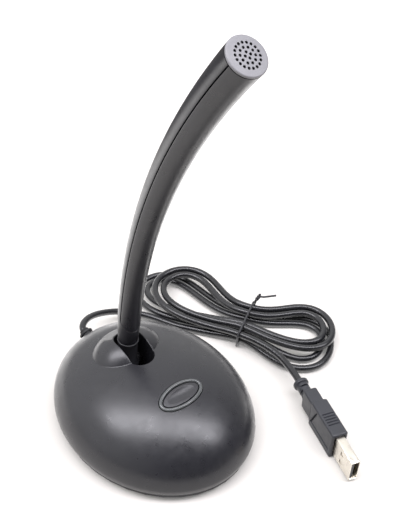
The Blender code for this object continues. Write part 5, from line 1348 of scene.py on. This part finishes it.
class DESKMIC_OT_cap(bpy.types.Operator):
    """Turns the end cap and drills its sound holes"""
    bl_idname = "deskmic.cap"
    bl_label = "End cap"

    def execute(self, context):
        s = context.scene.deskmic_arm
        cap = add_piece("tip_cap", end_cap_mesh(s), FINISH["light_grey"], "light_grey", "arm", "end_cap").data
        # Painted shade: the walls of the sound holes get the black plastic finish so that the holes look dark, in
        # place of the shade inside them; the cap itself is light grey there.
        cap.materials.append(FINISH["black_plastic"])
        (middle,), _, (ahead,) = arm_frames(np.array([s.length]), s)
        centre = np.empty(len(cap.polygons) * 3)
        cap.polygons.foreach_get("center", centre)
        away = centre.reshape(-1, 3) - middle
        rise = away @ ahead
        radius = np.linalg.norm(away - rise[:, None] * ahead, axis=1)
        crown = s.cap_crown * (1 - (radius / (s.tip_radius - s.cap_round)) ** 2)
        bored = (radius < 5.4 * MM) & (rise < crown - 0.12 * MM)
        cap.polygons.foreach_set("material_index", bored.astype(np.int32))
        return {"FINISHED"}


class DESKMIC_OT_plug(bpy.types.Operator):
    """Moulds the plug and folds its metal can"""
    bl_idname = "deskmic.plug"
    bl_label = "Plug"

    def execute(self, context):
        p = context.scene.deskmic_plug
        add_piece("plug_moulding", overmold_mesh(p), FINISH["plug_plastic"], "plug_plastic", "base",
                  "plug_overmold")
        add_piece("plug_can", can_mesh(p), FINISH["nickel"], "nickel", "base", "plug_shell")
        return {"FINISHED"}


class DESKMIC_OT_leads(bpy.types.Operator):
    """Runs the leads inside the base and the arm"""
    bl_idname = "deskmic.leads"
    bl_label = "Inner leads"

    def execute(self, context):
        scene = context.scene
        dome, c, s, b = scene.deskmic_dome, scene.deskmic_cable, scene.deskmic_arm, scene.deskmic_button
        place = button_place(dome, b)
        # Flange, stem, plunger, switch and board below the button, with their gaps
        below = -b.flange - 1.0 * MM - 1.6 * MM - GAP - 1.3 * MM - 3.6 * MM - GAP - 1.6 * MM - GAP
        origin, axes = relief_place(dome)
        ahead = np.array(axes[2])
        start = origin - ahead * (SLEEVE_INSIDE + GAP)
        usb = [start, start - ahead * 3 * MM, *(np.array(USB_INNER_ROUTE) * MM),
               *put(np.array([(10.0 * MM, 3.0 * MM, below - 3.4 * MM - d) for d in (4 * MM, GAP)]), place)]
        add_piece("usb_inner_lead", tube(smooth_route(usb, 120), c.radius, 14), FINISH["cable_jacket"],
                  "cable_jacket", "base", "usb_lead_inner")
        start = PIVOT - (TRUNNION_END, 0.0, 0.0)
        mic = [start, start - (2.5 * MM, 0.0, 0.0), *(np.array(MIC_BASE_ROUTE) * MM),
               *put(np.array([(-11.5 * MM, 3.5 * MM, below - 3.0 * MM - d) for d in (3 * MM, GAP)]), place)]
        add_piece("mic_inner_lead", tube(smooth_route(mic, 90), c.lead_radius, 14), FINISH["cable_jacket"],
                  "cable_jacket", "base", "mic_lead_base")
        (tip,), _, (up,) = arm_frames(np.array([s.length - s.cap_rim]), s)
        run = arm_frames(np.linspace(arm_end(s) - 14 * MM, 0.0, 14), s)[0]
        neck = np.array(neck_place(s)[1][2])
        ceiling = cap_ceiling(s)
        floor = ceiling - GAP - 2.7 * MM - GAP
        bend = np.array([neck * 1.6, (-0.5, 0.0, 0.5), (-1.6, 0.0, 0.0)]) * c.lead_radius
        line = [tip + up * floor, tip + up * (ceiling - GAP - 7.6 * MM), *run, PIVOT + neck * 0.5 * s.neck,
                *(PIVOT + bend), PIVOT - (TRUNNION_END - GAP, 0.0, 0.0)]
        mesh = tube(np.array(line), c.lead_radius, 14, (0.0, 1.0, 0.0))
        add_piece("mic_arm_lead", mesh, FINISH["cable_jacket"], "cable_jacket", "arm", "mic_lead_arm")
        return {"FINISHED"}


WHITE = (1.0, 1.0, 1.0, 1.0)
LAMP_PLACES = {"overhead_left": (-0.300, 0.077, 0.9), "overhead_right": (0.299, -0.407, 0.9)}
LAMP_SIZE, LAMP_POWER, LAMP_COLOUR = (0.84, 0.32), 9.8, (0.95, 0.94, 1.0)


class DESKMIC_OT_stage(bpy.types.Operator):
    """Sets up the pale floor, the soft lamps and the camera"""
    bl_idname = "deskmic.stage"
    bl_label = "Floor, light and camera"

    def execute(self, context):
        scene = context.scene
        scene.view_settings.view_transform = "Standard"
        self.add_floor(scene)
        self.add_sky(scene)
        for name, place in LAMP_PLACES.items():
            self.add_lamp(scene, name, place)
        self.add_camera(scene)
        return {"FINISHED"}

    def add_floor(self, scene):
        """A flat sheet; what the camera and reflections see of it is lifted towards white, shadow and all."""
        half = 6.0
        grid = np.array([[(-half, -half, 0), (half, -half, 0)], [(-half, half, 0), (half, half, 0)]])
        mesh = skin(grid, ring=False)
        floor = bpy.data.objects.new("floor", mesh)
        scene.collection.objects.link(floor)
        r = Recipe("floor_paper")
        colour = tuple(scene.deskmic_finishes.floor)
        path = r.nodes.new("ShaderNodeLightPath")
        away = r.operate("ShaderNodeVectorMath", "LENGTH", r.place)
        behind = r.operate("ShaderNodeVectorMath", "DOT_PRODUCT", r.place, (0.69, 0.72, 0.0))
        # Painted shade: only in reflections, the floor well behind the object drops to a fifth of its colour, in
        # place of the dark surroundings mirrored in the base and arm; nearer in, reflections see it lifted towards
        # white.
        painted_dark_behind = r.operate("ShaderNodeMath", "MULTIPLY", path.outputs["Is Glossy Ray"],
                            r.between(behind, 0.0, 1.0, 0.12, 0.3))
        r.feed("Base Color", r.blend(painted_dark_behind, colour, shade(colour, 0.22), 0.0, 1.0))
        r.set("Roughness", 0.9)
        r.set("Specular IOR Level", 0.1)
        mirrored = r.operate("ShaderNodeMath", "MAXIMUM", path.outputs["Is Glossy Ray"],
                             path.outputs["Is Transmission Ray"])
        mirrored = r.operate("ShaderNodeMath", "MULTIPLY", mirrored,
                             r.between(behind, 0.25, 1.6, -0.02, 0.08))
        near = r.operate("ShaderNodeMath", "SUBTRACT", 1.0, painted_dark_behind)
        mirrored = r.operate("ShaderNodeMath", "MULTIPLY", mirrored, near)
        seen = r.operate("ShaderNodeMath", "MULTIPLY", path.outputs["Is Camera Ray"],
                         r.between(away, 0.12, 0.8, 0.12, 0.5))
        r.set("Emission Color", WHITE)
        r.feed("Emission Strength", r.operate("ShaderNodeMath", "ADD", mirrored, seen))
        mesh.materials.append(r.material)

    def add_sky(self, scene):
        """White sweep behind the object that darkens overhead, towards the camera and along the horizon.

        The camera itself sees plain white.
        """
        world = bpy.data.worlds.new("studio")
        world.use_nodes = True
        scene.world = world
        r = Wiring(world.node_tree)
        where = r.nodes.new("ShaderNodeTexCoord").outputs["Generated"]
        rear = r.operate("ShaderNodeVectorMath", "DOT_PRODUCT", where, (-0.05, 0.49, 0.0))
        height = r.operate("ShaderNodeVectorMath", "DOT_PRODUCT", where, (0.0, 0.0, 1.0))
        level = r.operate("ShaderNodeMath", "MULTIPLY", r.between(rear, 0.15, 1.5, -0.3, 0.2),
                          r.between(height, 0.55, 1.0, 0.0, 0.24))
        lit, white, mix = [r.nodes.new(kind) for kind in ("ShaderNodeBackground", "ShaderNodeBackground",
                                                          "ShaderNodeMixShader")]
        r.links.new(level, lit.inputs["Strength"])
        lit.inputs["Color"].default_value = white.inputs["Color"].default_value = WHITE
        r.links.new(r.nodes.new("ShaderNodeLightPath").outputs["Is Camera Ray"], mix.inputs["Fac"])
        r.links.new(lit.outputs["Background"], mix.inputs[1])
        r.links.new(white.outputs["Background"], mix.inputs[2])
        r.links.new(mix.outputs["Shader"], r.nodes["World Output"].inputs["Surface"])

    def add_lamp(self, scene, name, place):
        """A rectangular soft lamp across the camera's view that faces the base."""
        data = bpy.data.lights.new(name, "AREA")
        data.shape, data.energy, data.color = "RECTANGLE", LAMP_POWER, LAMP_COLOUR
        data.size, data.size_y = LAMP_SIZE
        lamp = bpy.data.objects.new(name, data)
        back = unit(np.array(place) - (0.0, -0.02, 0.03))
        up = unit(np.cross(back, (0.78, -0.63, 0.0)))
        lamp.matrix_world = matrix(np.array([np.cross(up, back), up, back]), place)
        scene.collection.objects.link(lamp)

    def add_camera(self, scene):
        data = bpy.data.cameras.new("camera")
        data.lens, data.sensor_width, data.clip_start = CAMERA_LENS, 36.0, 0.01
        camera = bpy.data.objects.new("camera", data)
        camera.matrix_world = matrix(np.array(CAMERA_AXES), CAMERA_PLACE)
        scene.collection.objects.link(camera)
        scene.camera = camera


def matrix(axes, place):
    """Transform whose columns are the axes and the place."""
    whole = np.eye(4)
    whole[:3, :3] = unit(axes).T
    whole[:3, 3] = place
    return Matrix(whole.tolist())


class DESKMIC_PT_panel(bpy.types.Panel):
    """Lists the steps that dress the microphone"""
    bl_idname = "DESKMIC_PT_panel"
    bl_label = "Microphone"
    bl_space_type = "VIEW_3D"
    bl_region_type = "UI"
    bl_category = "Microphone"

    def draw(self, context):
        for step in STEPS:
            self.layout.operator(step.bl_idname)
        for group in GROUPS:
            box = self.layout.box()
            settings = getattr(context.scene, group)
            for name in settings.__annotations__:
                box.prop(settings, name)


GROUPS = {"deskmic_dome": DomeSizes, "deskmic_arm": ArmSizes, "deskmic_button": ButtonSizes,
          "deskmic_cable": CableSizes, "deskmic_plug": PlugSizes, "deskmic_finishes": Finishes}
STEPS = (DESKMIC_OT_stage, DESKMIC_OT_finishes, DESKMIC_OT_sleeve, DESKMIC_OT_tie, DESKMIC_OT_plug,
         DESKMIC_OT_cable, DESKMIC_OT_base, DESKMIC_OT_button, DESKMIC_OT_arm, DESKMIC_OT_cap,
         DESKMIC_OT_leads)


def register():
    for item in (*GROUPS.values(), *STEPS, DESKMIC_PT_panel):
        bpy.utils.register_class(item)
    for name, group in GROUPS.items():
        setattr(bpy.types.Scene, name, PointerProperty(type=group))


def unregister():
    for name in GROUPS:
        delattr(bpy.types.Scene, name)
    for item in reversed((*GROUPS.values(), *STEPS, DESKMIC_PT_panel)):
        bpy.utils.unregister_class(item)


def main():
    register()
    for step in STEPS:
        group, name = step.bl_idname.split(".")
        getattr(getattr(bpy.ops, group), name)()


if __name__ == "__main__":
    main()
